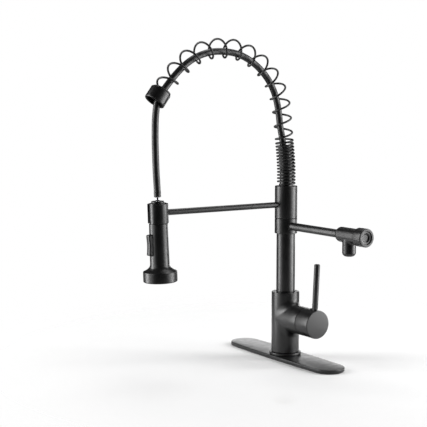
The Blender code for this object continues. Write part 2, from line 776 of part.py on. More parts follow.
def make_cartridge():
    """A small ceramic cartridge: housing, fixed disc, moving disc, rotor and pin, in the branch's bore."""
    placed = along_x(PIVOT_X, 0, BRANCH_HEIGHT)
    moving_top = -ROTOR_BACK - GAP
    fixed_top = moving_top - DISC_THICK - GAP
    floor = fixed_top - DISC_THICK - GAP
    inside = CARTRIDGE_BORE - GAP

    housing = baked(
        turned(
            "cartridge_housing",
            [
                (0.0, floor),
                (CARTRIDGE_BORE, floor),
                (CARTRIDGE_BORE, -CARTRIDGE_FRONT),
                (CARTRIDGE_RADIUS, -CARTRIDGE_FRONT),
                (CARTRIDGE_RADIUS, -CARTRIDGE_BACK),
                (0.0, -CARTRIDGE_BACK),
            ],
            PLASTIC,
            placed,
        )
    )
    ports = []
    for i in range(3):
        angle = 2 * pi * i / 3
        y = PORT_CIRCLE * sin(angle)
        z = BRANCH_HEIGHT + PORT_CIRCLE * cos(angle)
        start = (PIVOT_X - CARTRIDGE_BACK - CUT_PAST, y, z)
        end = (PIVOT_X + moving_top - CUT_PAST, y, z)
        ports.append(drill(f"port_{i}", start, end, PORT_RADIUS))
    cut(housing, *ports)

    fixed_profile = rod_profile(inside, fixed_top, fixed_top - DISC_THICK)
    fixed = baked(turned("ceramic_disc_fixed", fixed_profile, CERAMIC, placed))
    cut(fixed, *ports)

    moving_profile = rod_profile(MOVING_DISC_RADIUS, moving_top, moving_top - DISC_THICK)
    moving = baked(turned("ceramic_disc_moving", moving_profile, CERAMIC, placed))
    driver_hole = drill(
        "driver_hole",
        (PIVOT_X + moving_top + CUT_PAST, 0, BRANCH_HEIGHT),
        (PIVOT_X + moving_top - DISC_THICK - CUT_PAST, 0, BRANCH_HEIGHT),
        STEM_BALL_RADIUS + GAP,
    )
    cut(moving, driver_hole)

    rotor_profile = rod_profile(inside, ROTOR_FRONT, -ROTOR_BACK, EDGE)
    rotor = baked(turned("cartridge_rotor", rotor_profile, WHITE_PLASTIC, placed))
    slot_half = STEM_RADIUS + GAP
    drop = ROTOR_BACK * sin(HANDLE_TILT) + STEM_BALL_RADIUS + GAP
    slot = box_cutter(
        "rotor_slot",
        (PIVOT_X - ROTOR_BACK + ROTOR_FLOOR, -slot_half, BRANCH_HEIGHT - CARTRIDGE_RADIUS),
        (PIVOT_X + ROTOR_FRONT + CUT_PAST, slot_half, BRANCH_HEIGHT + CARTRIDGE_RADIUS),
    )
    floor_hole = box_cutter(
        "rotor_floor_hole",
        (PIVOT_X - ROTOR_BACK - CUT_PAST, -slot_half, BRANCH_HEIGHT - slot_half),
        (PIVOT_X - ROTOR_BACK + ROTOR_FLOOR + CUT_PAST, slot_half, BRANCH_HEIGHT + drop),
    )
    pin_reach = CARTRIDGE_BORE - 2 * GAP
    pin_hole = drill(
        "rotor_pin_hole",
        (PIVOT_X, -CARTRIDGE_RADIUS, BRANCH_HEIGHT),
        (PIVOT_X, CARTRIDGE_RADIUS, BRANCH_HEIGHT),
        PIN_RADIUS + RUN,
    )
    cut(rotor, slot, floor_hole, pin_hole)
    across = Matrix.Translation((PIVOT_X, 0, BRANCH_HEIGHT)) @ LATHE_Y
    pin_profile = rod_profile(PIN_RADIUS, pin_reach, -pin_reach)
    pin = baked(turned("cartridge_pin", pin_profile, STEEL, across, SMALL))
    stem_profile = [
        (0.0, STEM_FRONT),
        (STEM_RADIUS, STEM_FRONT),
        (STEM_RADIUS, STEM_NECK - STEM_ARM),
    ]
    stem_profile += arc_points((0, -STEM_ARM), STEM_BALL_RADIUS, radians(50), -pi / 2, 6)
    stem_profile[-1] = (0.0, -STEM_ARM - STEM_BALL_RADIUS)
    stem = baked(turned("cartridge_stem", stem_profile, STEEL, placed, SMALL))
    cut(stem, pin_hole)
    return housing, fixed, moving, rotor, pin, stem


def make_bonnet():
    """The round-nosed nut that holds the cartridge, and over which the handle's skirt runs."""
    bore = CARTRIDGE_RADIUS + GAP
    inner_radius = DOME_RADIUS - DOME_WALL
    front = asin(DOME_FRONT / DOME_RADIUS)
    back = -acos(BONNET_RADIUS / DOME_RADIUS)
    outer = arc_points((0, 0), DOME_RADIUS, front, back, 7)
    profile = outer + [
        (BONNET_RADIUS, -BONNET_BACK),
        (bore, -BONNET_BACK),
        (bore, GAP - CARTRIDGE_FRONT),
        (sqrt(inner_radius**2 - CARTRIDGE_FRONT**2) - FINE_EDGE, GAP - CARTRIDGE_FRONT),
        (inner_radius, EDGE),
        (sqrt(inner_radius**2 - DOME_FRONT**2), DOME_FRONT),
    ]
    return baked(turned("cartridge_bonnet", profile, BLACK, along_x(PIVOT_X, 0, BRANCH_HEIGHT), FINE, True))


def make_handle():
    """The handle cap, its upright lever and its grub screw."""
    front = CAP_FACE - PIVOT_X
    inside = front - CAP_END_WALL
    boss = STEM_RADIUS + GAP + STEM_SOCKET_WALL
    socket_floor = inside + GAP
    profile = [
        (0.0, front),
        (CAP_RADIUS - CAP_CHAMFER, front),
        (CAP_RADIUS, front - CAP_CHAMFER),
        (CAP_RADIUS, CAP_CHAMFER - CAP_BEHIND_PIVOT),
        (CAP_RADIUS - CAP_CHAMFER, -CAP_BEHIND_PIVOT),
        (CAP_INNER, -CAP_BEHIND_PIVOT),
        (CAP_INNER, inside),
        (boss, inside),
        (boss, inside - STEM_SOCKET_LENGTH),
        (STEM_RADIUS + GAP, inside - STEM_SOCKET_LENGTH),
        (STEM_RADIUS + GAP, socket_floor),
        (0.0, socket_floor),
    ]
    cap = baked(turned("handle_cap", profile, BLACK, along_x(PIVOT_X, 0, BRANCH_HEIGHT), FINE))

    lean = Matrix.Rotation(LEVER_LEAN, 4, "Y")
    root = Matrix.Translation((PIVOT_X + LEVER_FROM_PIVOT, 0, BRANCH_HEIGHT + LEVER_ROOT)) @ lean
    length = (LEVER_TOP - BRANCH_HEIGHT - LEVER_ROOT) / cos(LEVER_LEAN)
    lever = baked(turned("handle_lever", rod_profile(LEVER_RADIUS, length, 0.0, EDGE), BLACK, root))
    hole_profile = rod_profile(LEVER_RADIUS + GAP, 2 * LEVER_RADIUS, -2 * LEVER_INSIDE)
    lever_hole = turned_cutter("lever_hole", hole_profile, root)
    top = BRANCH_HEIGHT + CAP_RADIUS
    grub_x = PIVOT_X + GRUB_FROM_PIVOT
    grub_root = BRANCH_HEIGHT + CAP_INNER + GAP
    upright = Matrix.Translation((grub_x, 0, 0))
    grub_profile = rod_profile(GRUB_RADIUS, top + GRUB_PROUD, grub_root, FINE_EDGE)
    grub = baked(turned("handle_grub_screw", grub_profile, BLACK, upright, SMALL))
    grub_low = (grub_x, 0, BRANCH_HEIGHT + CAP_INNER - CUT_PAST)
    grub_high = (grub_x, 0, top + CUT_PAST)
    grub_hole = drill("grub_hole", grub_low, grub_high, GRUB_RADIUS + GAP)
    cut(cap, lever_hole, grub_hole)
    return cap, lever, grub


# ---------------------------------------------------------------- column and sleeve


def make_column():
    journal_bore = JOURNAL_RADIUS - JOURNAL_WALL
    profile = [
        (SPIGOT_RADIUS, JOURNAL_TOP),
        (SPIGOT_RADIUS, SLEEVE_TOP + GAP),
        (JOURNAL_RADIUS, SLEEVE_TOP + GAP),
        (JOURNAL_RADIUS, COLUMN_TOP),
        (COLUMN_RADIUS, COLUMN_TOP),
        (COLUMN_RADIUS, COLUMN_BOTTOM),
        (COLUMN_RADIUS - COLUMN_WALL, COLUMN_BOTTOM),
        (COLUMN_RADIUS - COLUMN_WALL, COLUMN_TOP - 2 * COLUMN_WALL),
        (journal_bore, COLUMN_TOP - 2 * COLUMN_WALL),
        (journal_bore, JOURNAL_TOP),
    ]
    column = baked(turned("column_tube", profile, BLACK, steps=FINE, closed=True))
    reach = COLUMN_RADIUS
    port = drill("gallery_port", (-reach, 0, PIPE_HEIGHT), (reach, 0, PIPE_HEIGHT), WATERWAY_RADIUS)
    return cut(column, port)


def make_spring_liner():
    """The tube inside the close turns above the column, leaning with them."""
    frames = arch_frames()
    low = at_length(frames, JOURNAL_TOP + LINER_ABOVE_JOURNAL - frames[0][0].z)[0]
    high = at_length(frames, LINER_TOP - frames[0][0].z)[0]
    run = high - low
    placed = Matrix.Translation(low) @ run.to_track_quat("Z", "Y").to_matrix().to_4x4()
    profile = ring_profile(SPIGOT_RADIUS, SPIGOT_RADIUS - LINER_WALL, run.length, 0.0)
    return baked(turned("spring_liner", profile, PLASTIC, placed, closed=True))


def make_column_bearing():
    """The plastic bush and the seal that the column turns in."""
    inner = COLUMN_RADIUS + RUN
    outer = inner + BUSH_WALL
    bush_profile = ring_profile(outer, inner, BODY_TOP - EDGE, COLUMN_BOTTOM)
    bush = turned("swivel_bush", bush_profile, PLASTIC, closed=True)
    seal_bottom = SOCKET_FLOOR + GAP
    seal_top = seal_bottom + SEAL_HEIGHT
    seal_profile = ring_profile(COLUMN_RADIUS, COLUMN_RADIUS - COLUMN_WALL, seal_top, seal_bottom)
    seal = turned("column_seal", seal_profile, RUBBER, closed=True)
    return baked(bush), baked(seal)


def seal_grooves():
    """The heights of the two seals of the pot filler ring, at their lower edges."""
    low = COLUMN_TOP + GAP + SEAL_INSET
    high = SEAM_HEIGHT - GAP - SEAL_INSET - SEAL_HEIGHT
    return low, high


def make_pot_ring():
    inner = JOURNAL_RADIUS + RUN
    bottom = COLUMN_TOP + GAP
    top = SEAM_HEIGHT - GAP / 2
    groove = inner + SEAL_WALL + GAP
    gallery = inner + GALLERY_DEPTH
    low, high = seal_grooves()
    gallery_low = PIPE_HEIGHT - GALLERY_HEIGHT / 2
    gallery_high = PIPE_HEIGHT + GALLERY_HEIGHT / 2
    profile = [
        (SLEEVE_RADIUS - SLEEVE_EDGE, top),
        (SLEEVE_RADIUS, top - SLEEVE_EDGE),
        (SLEEVE_RADIUS, bottom + SLEEVE_EDGE),
        (SLEEVE_RADIUS - SLEEVE_EDGE, bottom),
        (inner, bottom),
        (inner, low - GAP),
        (groove, low - GAP),
        (groove, low + SEAL_HEIGHT + GAP),
        (inner, low + SEAL_HEIGHT + GAP),
        (inner, gallery_low),
        (gallery, gallery_low),
        (gallery, gallery_high),
        (inner, gallery_high),
        (inner, high - GAP),
        (groove, high - GAP),
        (groove, high + SEAL_HEIGHT + GAP),
        (inner, high + SEAL_HEIGHT + GAP),
        (inner, top),
    ]
    ring = baked(turned("pot_filler_ring", profile, BLACK, steps=FINE, closed=True))
    hole = drill(
        "pipe_hole",
        (gallery - CUT_PAST, 0, PIPE_HEIGHT),
        (SLEEVE_RADIUS + CUT_PAST, 0, PIPE_HEIGHT),
        PIPE_RADIUS + GAP,
        PLAIN,
    )
    cut(ring, hole)
    seals = []
    for label, height in (("lower", low), ("upper", high)):
        seal = ring_profile(inner + SEAL_WALL, inner + SEAL_CLEAR, height + SEAL_HEIGHT, height)
        seals.append(baked(turned(f"pot_ring_seal_{label}", seal, RUBBER, steps=PLAIN, closed=True)))
    return ring, seals


def make_pot_filler():
    """Pipe, valve body with its downward nozzle, aerator, valve spindle and knob."""
    placed = along_x(z=PIPE_HEIGHT)
    pipe_start = SLEEVE_RADIUS - PIPE_INSERTED + 2 * GAP
    pipe_end = VALVE_START + PIPE_INSERTED
    pipe_profile = ring_profile(PIPE_RADIUS, PIPE_RADIUS - PIPE_WALL, pipe_end, pipe_start)
    pipe = baked(turned("pot_filler_pipe", pipe_profile, BLACK, placed, PLAIN, True))

    valve_profile = [(0.0, VALVE_END), (VALVE_RADIUS, VALVE_END)]
    rounding = (VALVE_RADIUS - VALVE_SHOULDER, VALVE_START + VALVE_SHOULDER)
    valve_profile += arc_points(rounding, VALVE_SHOULDER, 0.0, -pi / 2, 4)
    valve_profile.append((0.0, VALVE_START))
    valve = baked(turned("pot_valve_body", valve_profile, BLACK, placed, FINE))
    nozzle_top = PIPE_HEIGHT + NOZZLE_ROOT
    nozzle_profile = [(0.0, nozzle_top), (NOZZLE_RADIUS, nozzle_top)]
    rounding = (NOZZLE_RADIUS - NOZZLE_ROUNDING, NOZZLE_BOTTOM + NOZZLE_ROUNDING)
    nozzle_profile += arc_points(rounding, NOZZLE_ROUNDING, 0.0, -pi / 2, 4)
    nozzle_profile.append((0.0, NOZZLE_BOTTOM))
    nozzle = turned("nozzle_barrel", nozzle_profile, None, Matrix.Translation((NOZZLE_X, 0, 0)), PLAIN)
    boolean(valve, retire(baked(nozzle)), "UNION")
    baked(valve)
    axis = (0, PIPE_HEIGHT)
    seat = VALVE_END - VALVE_SEAT
    aerator_top = NOZZLE_BOTTOM + AERATOR_RECESS + AERATOR_HEIGHT + GAP
    outlet = [
        (0.0, PIPE_HEIGHT),
        (NOZZLE_BORE / 2, PIPE_HEIGHT),
        (NOZZLE_BORE / 2, aerator_top),
        (NOZZLE_BORE, aerator_top),
        (NOZZLE_BORE, NOZZLE_BOTTOM - CUT_PAST),
        (0.0, NOZZLE_BOTTOM - CUT_PAST),
    ]
    inlet = VALVE_START - CUT_PAST
    cut(
        valve,
        turned_cutter("valve_outlet", outlet, Matrix.Translation((NOZZLE_X, 0, 0))),
        drill("valve_inlet", (inlet, *axis), (pipe_end + GAP, *axis), PIPE_RADIUS + GAP, PLAIN),
        drill("valve_port", (pipe_end, *axis), (seat + CUT_PAST, *axis), WATERWAY_RADIUS),
        drill("valve_chamber", (seat, *axis), (VALVE_END + CUT_PAST, *axis), VALVE_BORE, PLAIN),
    )
    aerator_low = NOZZLE_BOTTOM + AERATOR_RECESS
    aerator = baked(
        turned(
            "pot_aerator",
            rod_profile(NOZZLE_BORE - GAP, aerator_low + AERATOR_HEIGHT, aerator_low, FINE_EDGE),
            PLASTIC,
            Matrix.Translation((NOZZLE_X, 0, 0)),
            SMALL,
        )
    )
    spindle_back = VALVE_END - SPINDLE_BODY_LENGTH
    knob_start = VALVE_END + KNOB_CLEAR
    head = VALVE_BORE - RUN
    spindle_profile = [
        (0.0, knob_start + SPINDLE_IN_KNOB),
        (SPINDLE_RADIUS, knob_start + SPINDLE_IN_KNOB),
        (SPINDLE_RADIUS, VALVE_END - GAP),
        (head, VALVE_END - GAP),
        (head, spindle_back),
        (0.0, spindle_back),
    ]
    spindle = baked(turned("pot_valve_spindle", spindle_profile, BRASS, placed))
    knob_front = knob_start + KNOB_LENGTH
    knob_profile = [
        (0.0, knob_front - KNOB_DISH_DEPTH),
        (KNOB_DISH_RADIUS - KNOB_DISH_SLOPE, knob_front - KNOB_DISH_DEPTH),
        (KNOB_DISH_RADIUS, knob_front),
        (KNOB_RADIUS - KNOB_EDGE, knob_front),
        (KNOB_RADIUS, knob_front - KNOB_EDGE),
        (KNOB_RADIUS, knob_start + KNOB_EDGE),
        (KNOB_RADIUS - KNOB_EDGE, knob_start),
        (SPINDLE_RADIUS + GAP, knob_start),
        (SPINDLE_RADIUS + GAP, knob_start + SPINDLE_IN_KNOB + GAP),
        (0.0, knob_start + SPINDLE_IN_KNOB + GAP),
    ]
    knob = baked(turned("pot_filler_knob", knob_profile, BLACK, placed, FINE))
    return pipe, valve, aerator, spindle, knob


# ---------------------------------------------------------------- dock arm


def dock_frame():
    """The dock's own frame: its origin where the arm's line meets the sprayer's axis, +Z up that axis."""
    return Matrix.Translation((0, -REACH, ARM_HEIGHT)) @ Matrix.Rotation(DOCK_LEAN, 4, "X")


def make_dock():
    inner = JOURNAL_RADIUS + RUN
    sleeve = ring_profile(SLEEVE_RADIUS, inner, SLEEVE_TOP, SEAM_HEIGHT + GAP / 2, SLEEVE_EDGE)
    ring = baked(turned("dock_ring", sleeve, BLACK, steps=FINE, closed=True))
    arm_root = -(SLEEVE_RADIUS - ARM_INSERTED)
    hole = drill(
        "arm_hole",
        (0, arm_root + GAP, ARM_HEIGHT),
        (0, -SLEEVE_RADIUS - CUT_PAST, ARM_HEIGHT),
        ARM_RADIUS + GAP,
        PLAIN,
    )
    cut(ring, hole)
    arm_end = -(REACH - CLIP_RADIUS - 2 * GAP)
    arm = baked(
        turned(
            "dock_arm",
            rod_profile(ARM_RADIUS, arm_root, arm_end),
            BLACK,
            Matrix.Translation((0, 0, ARM_HEIGHT)) @ LATHE_Y,
        )
    )
    steps = 24
    sweep = 2 * (pi - CLIP_HALF_OPENING)
    first = -pi / 2 + CLIP_HALF_OPENING
    angles = [first + sweep * i / steps for i in range(steps + 1)]
    outline = [(CLIP_RADIUS * cos(a), CLIP_RADIUS * sin(a)) for a in angles]
    outline += [(CLIP_INNER * cos(a), CLIP_INNER * sin(a)) for a in reversed(angles)]
    middle = (CLIP_ABOVE - CLIP_BELOW) / 2
    placed = dock_frame() @ Matrix.Translation((0, 0, middle))
    clip = flat_piece("dock_clip", outline, CLIP_ABOVE + CLIP_BELOW, BLACK, placed)
    return ring, arm, clip


# ---------------------------------------------------------------- spring, hose and collar


def arch_frames():
    """Points on the arch's centre line, with the direction towards its inside at each."""
    path = smooth_path([route_point(y, z) for y, z in ARCH_ROUTE], ROUTE_STEP)
    frames = []
    for i, point in enumerate(path):
        ahead = path[min(i + 1, len(path) - 1)] - path[max(i - 1, 0)]
        ahead.normalize()
        inside = Vector((1, 0, 0)).cross(ahead)
        frames.append((point, ahead, inside))
    return frames


def at_length(frames, wanted):
    """The centre line's point, direction and inward direction at a length along it."""
    run = 0.0
    for (a, da, na), (b, db, nb) in zip(frames, frames[1:]):
        step = (b - a).length
        if run + step >= wanted:
            t = (wanted - run) / step
            return a.lerp(b, t), da.lerp(db, t).normalized(), na.lerp(nb, t).normalized()
        run += step
    point, ahead, inside = frames[-1]
    return point + ahead * (wanted - run), ahead, inside


def eased(t):
    t = min(1.0, max(0.0, t))
    return t * t * (3 - 2 * t)


def pitch_at(length, total):
    """Close turns at the bottom, open turns that widen over the arch, close turns again at the collar."""
    rise = eased((length - CLOSED_LENGTH) / PITCH_CHANGE)
    fall = eased((total - END_LENGTH - length) / END_CHANGE)
    growth = eased((length - CLOSED_LENGTH - PITCH_CHANGE) / PITCH_GROWTH)
    open_pitch = OPENING_PITCH + (ARCH_PITCH - OPENING_PITCH) * growth
    return CLOSED_PITCH + (open_pitch - CLOSED_PITCH) * min(rise, fall)


def coil_radius_at(length, total):
    widened = eased((length - CLOSED_LENGTH) / WIDENING)
    narrowed = eased((total - END_LENGTH - length) / NARROWING)
    return COIL_RADIUS + COIL_WIDENING * widened * narrowed


def make_spring():
    """One wire wound from the top of the sleeve over the arch to the collar."""
    frames = arch_frames()
    start = COIL_START - frames[0][0].z
    total = path_length([f[0] for f in frames]) - start - COLLAR_END_WALL - WIRE_RADIUS - GAP
    points = []
    length = 0.0
    angle = 0.0
    while length < total:
        centre, ahead, inside = at_length(frames, start + length)
        sideways = ahead.cross(inside)
        outward = cos(angle) * inside + sin(angle) * sideways
        points.append(centre + coil_radius_at(length, total) * outward)
        length += pitch_at(length, total) / POINTS_PER_TURN
        angle += 2 * pi / POINTS_PER_TURN
    return tube("arch_spring", points, WIRE_RADIUS, BLACK, 1)


def hose_offset(run, total):
    """How far the hose lies to the inside of the arch's centre line at a length along it."""
    liner = LINER_TOP - frames_start()
    in_liner = HOSE_IN_LINER * eased(run / liner)
    on_arch = HOSE_INSIDE - (HOSE_INSIDE - HOSE_IN_COLLAR) * eased((run - total / 2) * 2 / total)
    return in_liner + (on_arch - HOSE_IN_LINER) * eased((run - liner) / NARROWING)


def frames_start():
    return route_point(*ARCH_ROUTE[0]).z


def hose_paths():
    """The hose's centre line in two stretches: against the inside of the arch's turns, and hanging free."""
    frames = arch_frames()
    total = path_length([f[0] for f in frames]) - HOSE_LEAVES
    knots = [Vector((0, 0, HOSE_START)), Vector((0, 0, HOSE_START + HOSE_STEP))]
    count = int(total / (2 * HOSE_STEP))
    for i in range(count + 1):
        run = total * i / count
        point, _, inside = at_length(frames, run)
        knots.append(point + inside * hose_offset(run, total))
    knots += [route_point(y, z) for y, z in DROP_ROUTE]
    knots.append(dock_frame() @ Vector((0, 0, ferrule_top() + GAP)))
    fine = smooth_path(knots, MM)
    leaves = route_point(*DROP_ROUTE[1])
    split = min(range(len(fine)), key=lambda i: (fine[i] - leaves).length)
    ahead = (fine[split + 2] - fine[split - 2]).normalized()
    mouth = fine[split]
    arch = resampled(fine[: split - 2], HOSE_STEP) + [mouth - ROUTE_STEP * ahead, mouth - GAP * ahead]
    drop = [mouth, mouth + ROUTE_STEP * ahead] + resampled(fine[split + 4 :], HOSE_STEP)
    return arch, drop


def collar_frame():
    """The collar's frame, with its origin in its open end and +Z back along the arch."""
    point, ahead, inside = arch_frames()[-1]
    return Matrix.Translation(point) @ (-ahead).to_track_quat("Z", "Y").to_matrix().to_4x4()


def make_collar():
    outer = COLLAR_INNER + COLLAR_WALL
    mouth = COIL_RADIUS - COLLAR_LIP
    profile = [
        (outer, COLLAR_LENGTH),
        (outer, EDGE),
        (outer - EDGE, 0.0),
        (mouth, 0.0),
        (mouth, COLLAR_END_WALL),
        (COLLAR_INNER, COLLAR_END_WALL),
        (COLLAR_INNER, COLLAR_LENGTH),
    ]
    return baked(turned("spring_collar", profile, BLACK, collar_frame(), FINE, True))


def make_hoses():
    arch, drop = hose_paths()
    upper = tube("hose_arch", arch, HOSE_RADIUS, HOSE_BLACK, 3)
    lower = tube("hose_drop", drop, HOSE_RADIUS, HOSE_BLACK, 3)
    return upper, lower


def make_hose_tail():
    """The fitting inside the journal that the hose is screwed into."""
    outer = JOURNAL_RADIUS - JOURNAL_WALL - GAP
    top = HOSE_START - GAP
    profile = ring_profile(outer, HOSE_RADIUS / 2, top, top - FITTING_HEIGHT)
    return baked(turned("hose_tail_fitting", profile, BRASS, steps=PLAIN, closed=True))


# ---------------------------------------------------------------- sprayer


def stud_ball_height():
    return NECK_TOP + TOP_CAP_HEIGHT + STUD_BALL_RADIUS - BALL_IN_CAP


def ferrule_bottom():
    return stud_ball_height() + STUD_BALL_RADIUS - BALL_IN_FERRULE


def ferrule_top():
    return ferrule_bottom() + FERRULE_LENGTH


def make_hose_end():
    """The ferrule on the hose's lower end and the bright ball stud below it."""
    placed = dock_frame()
    stud_low = NECK_TOP - CHECK_VALVE_HEIGHT / 2
    ball = stud_ball_height()
    ferrule_low = ferrule_bottom()
    neck = asin(0.72)
    stud_profile = [(0.0, ferrule_low - GAP), (STUD_RADIUS, ferrule_low - GAP)]
    stud_profile += arc_points((0, ball), STUD_BALL_RADIUS, neck, -neck, 6)
    stud_profile += [(STUD_RADIUS, stud_low + STUD_FLANGE), (STUD_RADIUS * 1.5, stud_low), (0.0, stud_low)]
    stud = baked(turned("hose_ball_stud", stud_profile, STEEL, placed, SMALL))
    outer = HOSE_RADIUS + FERRULE_WALL
    crimp = rod_profile(outer, ferrule_top(), ferrule_low, FINE_EDGE)
    ferrule = baked(turned("hose_ferrule", crimp, HOSE_BLACK, placed))
    return stud, ferrule


def sprayer_outline():
    """The outer side of the sprayer shell from the neck's top down to the rim's lower edge."""
    flare = [(GRIP_LOW_RADIUS, -GRIP_LOW)]
    width = RIM_RADIUS - GRIP_LOW_RADIUS
    height = RIM_TOP - GRIP_LOW
    for i in range(1, 7):
        t = i / 7
        flare.append((GRIP_LOW_RADIUS + width * t**2.2, -GRIP_LOW - height * t**0.9))
    neck = [(NECK_RADIUS - EDGE, NECK_TOP), (NECK_RADIUS, NECK_TOP - EDGE), (NECK_RADIUS, -SHOULDER)]
    shoulder = [(GRIP_TOP_RADIUS, -SHOULDER - EDGE)]
    rim = [
        (RIM_RADIUS - FINE_EDGE, -RIM_TOP),
        (RIM_RADIUS, -RIM_TOP - EDGE),
        (RIM_RADIUS, RIM_EDGE - RIM_BOTTOM),
        (RIM_RADIUS - RIM_EDGE, -RIM_BOTTOM),
    ]
    return neck + shoulder + flare + rim


def make_sprayer():
    placed = dock_frame()
    face_radius = RIM_RADIUS - FACE_MARGIN
    face_low = -RIM_BOTTOM + FACE_RECESS
    face_top = face_low + FACE_THICK
    ledge = face_radius - FACE_LEDGE
    grip_inner = GRIP_TOP_RADIUS - SPRAYER_WALL
    neck_inner = NECK_RADIUS - SPRAYER_WALL
    profile = sprayer_outline() + [
        (face_radius + GAP, -RIM_BOTTOM),
        (face_radius + GAP, face_top + GAP),
        (ledge, face_top + GAP),
        (ledge, -RIM_TOP - HEAD_HEIGHT),
        (grip_inner, -GRIP_LOW - SPRAYER_WALL),
        (grip_inner, -SHOULDER - SPRAYER_WALL),
        (neck_inner, -SHOULDER),
        (neck_inner, NECK_TOP),
    ]
    shell = baked(turned("sprayer_shell", profile, BLACK, placed, FINE, True))
    slot_low = (-ROCKER_WIDTH / 2 - GAP, -RIM_RADIUS, ROCKER_TOP - ROCKER_HEIGHT - ROCKER_CLEAR)
    slot_high = (ROCKER_WIDTH / 2 + GAP, -ROCKER_BACK, ROCKER_TOP + ROCKER_CLEAR)
    cut(shell, box_cutter("rocker_slot", slot_low, slot_high, placed))

    cap_low = NECK_TOP + GAP
    hole = STUD_RADIUS + GAP
    cap_top = NECK_TOP + TOP_CAP_HEIGHT
    cap_profile = [
        (TOP_CAP_RADIUS - FINE_EDGE, cap_top),
        (TOP_CAP_RADIUS, cap_top - FINE_EDGE),
        (TOP_CAP_RADIUS, cap_low),
        (hole, cap_low),
        (hole, cap_top + GAP - TOP_CAP_DIMPLE),
        (STUD_BALL_RADIUS + GAP, cap_top),
    ]
    cap = baked(turned("sprayer_top_cap", cap_profile, BLACK, placed, PLAIN, True))
    core = baked(
        turned(
            "sprayer_inlet_insert",
            ring_profile(neck_inner - GAP, INSERT_BORE, NECK_TOP - FINE_EDGE, SPRAYER_WALL - SHOULDER),
            PLASTIC,
            placed,
            closed=True,
        )
    )
    check_top = NECK_TOP - CHECK_VALVE_HEIGHT - EDGE
    check_profile = rod_profile(INSERT_BORE - GAP, check_top, check_top - CHECK_VALVE_HEIGHT)
    check = baked(turned("sprayer_check_valve", check_profile, WHITE_PLASTIC, placed, SMALL))
    diverter_top = -SHOULDER - EDGE
    diverter = baked(
        turned(
            "spray_diverter",
            ring_profile(DIVERTER_RADIUS, DIVERTER_BORE, diverter_top, diverter_top - DIVERTER_LENGTH),
            PLASTIC,
            placed,
            closed=True,
        )
    )
    face = baked(
        turned(
            "spray_face",
            ring_profile(face_radius, OUTLET_RADIUS + GAP, face_top, face_low, FINE_EDGE),
            RUBBER,
            placed,
            FINE,
            True,
        )
    )
    outlet = baked(
        turned(
            "spray_aerator",
            rod_profile(OUTLET_RADIUS, face_low + OUTLET_HEIGHT, face_low + OUTLET_RECESS, FINE_EDGE),
            PLASTIC,
            placed,
        )
    )
    return shell, cap, core, check, diverter, face, outlet


def make_rocker():
    """The two-way rocker that switches between stream and spray."""
    middle = ROCKER_TOP - ROCKER_HEIGHT / 2
    placed = dock_frame() @ Matrix.Translation((0, -GRIP_TOP_RADIUS, middle))
    mesh = bpy.data.meshes.new("spray_rocker")
    work = bmesh.new()
    bmesh.ops.create_cube(work, size=1.0)
    depth = ROCKER_FACE - ROCKER_BACK
    offset = GRIP_TOP_RADIUS - (ROCKER_FACE + ROCKER_BACK) / 2
    size = Matrix.Diagonal((ROCKER_WIDTH, depth, ROCKER_HEIGHT, 1.0))
    bmesh.ops.transform(work, matrix=Matrix.Translation((0, offset, 0)) @ size, verts=work.verts)
    work.to_mesh(mesh)
    work.free()
    rocker = add_object("spray_rocker", mesh, BLACK, placed)
    edge = rocker.modifiers.new("edge", "BEVEL")
    edge.width = ROCKER_EDGE
    edge.segments = 2
    return baked(rocker)


# ---------------------------------------------------------------- assembly


def build():
    make_deck_plate()
    make_deck_gasket()
    make_base_ring()
    make_shank()
    make_clamp()
    make_inlet("cold_inlet", 1)
    make_inlet("hot_inlet", -1)
    make_mixer_body()
    make_bonnet()
    housing, fixed, moving, rotor, pin, stem = make_cartridge()
    cap, lever, grub = make_handle()
    bush, seal = make_column_bearing()
    column = make_column()
    liner = make_spring_liner()
    ring, seals = make_pot_ring()
    pipe, valve, aerator, spindle, knob = make_pot_filler()
    dock_ring, arm, clip = make_dock()
    spring = make_spring()
    hose_arch, hose_drop = make_hoses()
    collar = make_collar()
    tail = make_hose_tail()
    stud, ferrule = make_hose_end()
    sprayer = make_sprayer()
    rocker = make_rocker()

    pivot = Matrix.Translation((PIVOT_X, 0, BRANCH_HEIGHT))
    rotor_axis = add_empty("handle_turn_axis", pivot)
    handle_axis = add_empty("handle_tilt_axis", pivot)
    column_axis = add_empty("column_axis", Matrix.Identity(4))
    pot_axis = add_empty("pot_filler_axis", Matrix.Translation((0, 0, PIPE_HEIGHT)))
    knob_axis = add_empty("knob_axis", Matrix.Translation((VALVE_END, 0, PIPE_HEIGHT)))
    dock_axis = add_empty("dock_axis", Matrix.Translation((0, 0, ARM_HEIGHT)))
    sprayer_axis = add_empty("sprayer_axis", dock_frame())
    rocker_axis = add_empty("rocker_axis", rocker.matrix_world.copy())
    hang_on(rotor_axis, rotor, pin, moving)
    hang_on(handle_axis, stem, cap, lever, grub)
    hang_on(pot_axis, ring, *seals, pipe, valve, aerator)
    hang_on(knob_axis, spindle, knob)
    hang_on(dock_axis, dock_ring, arm, clip, collar, hose_drop)
    hang_on(sprayer_axis, stud, ferrule, *sprayer)
    hang_on(rocker_axis, rocker)
    hang_on(column_axis, column, liner, tail, spring, hose_arch)
    hang_on(rotor_axis, handle_axis)
    hang_on(column_axis, pot_axis, dock_axis)
    hang_on(pot_axis, knob_axis)
    hang_on(dock_axis, sprayer_axis)
    hang_on(sprayer_axis, rocker_axis)


build()
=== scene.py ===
"""Looks of the spring-neck pull-down faucet: fine meshes, materials, camera and studio light.

Metres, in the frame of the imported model: +Z up the column, -Y along the dock arm, +X towards the handle.
"""

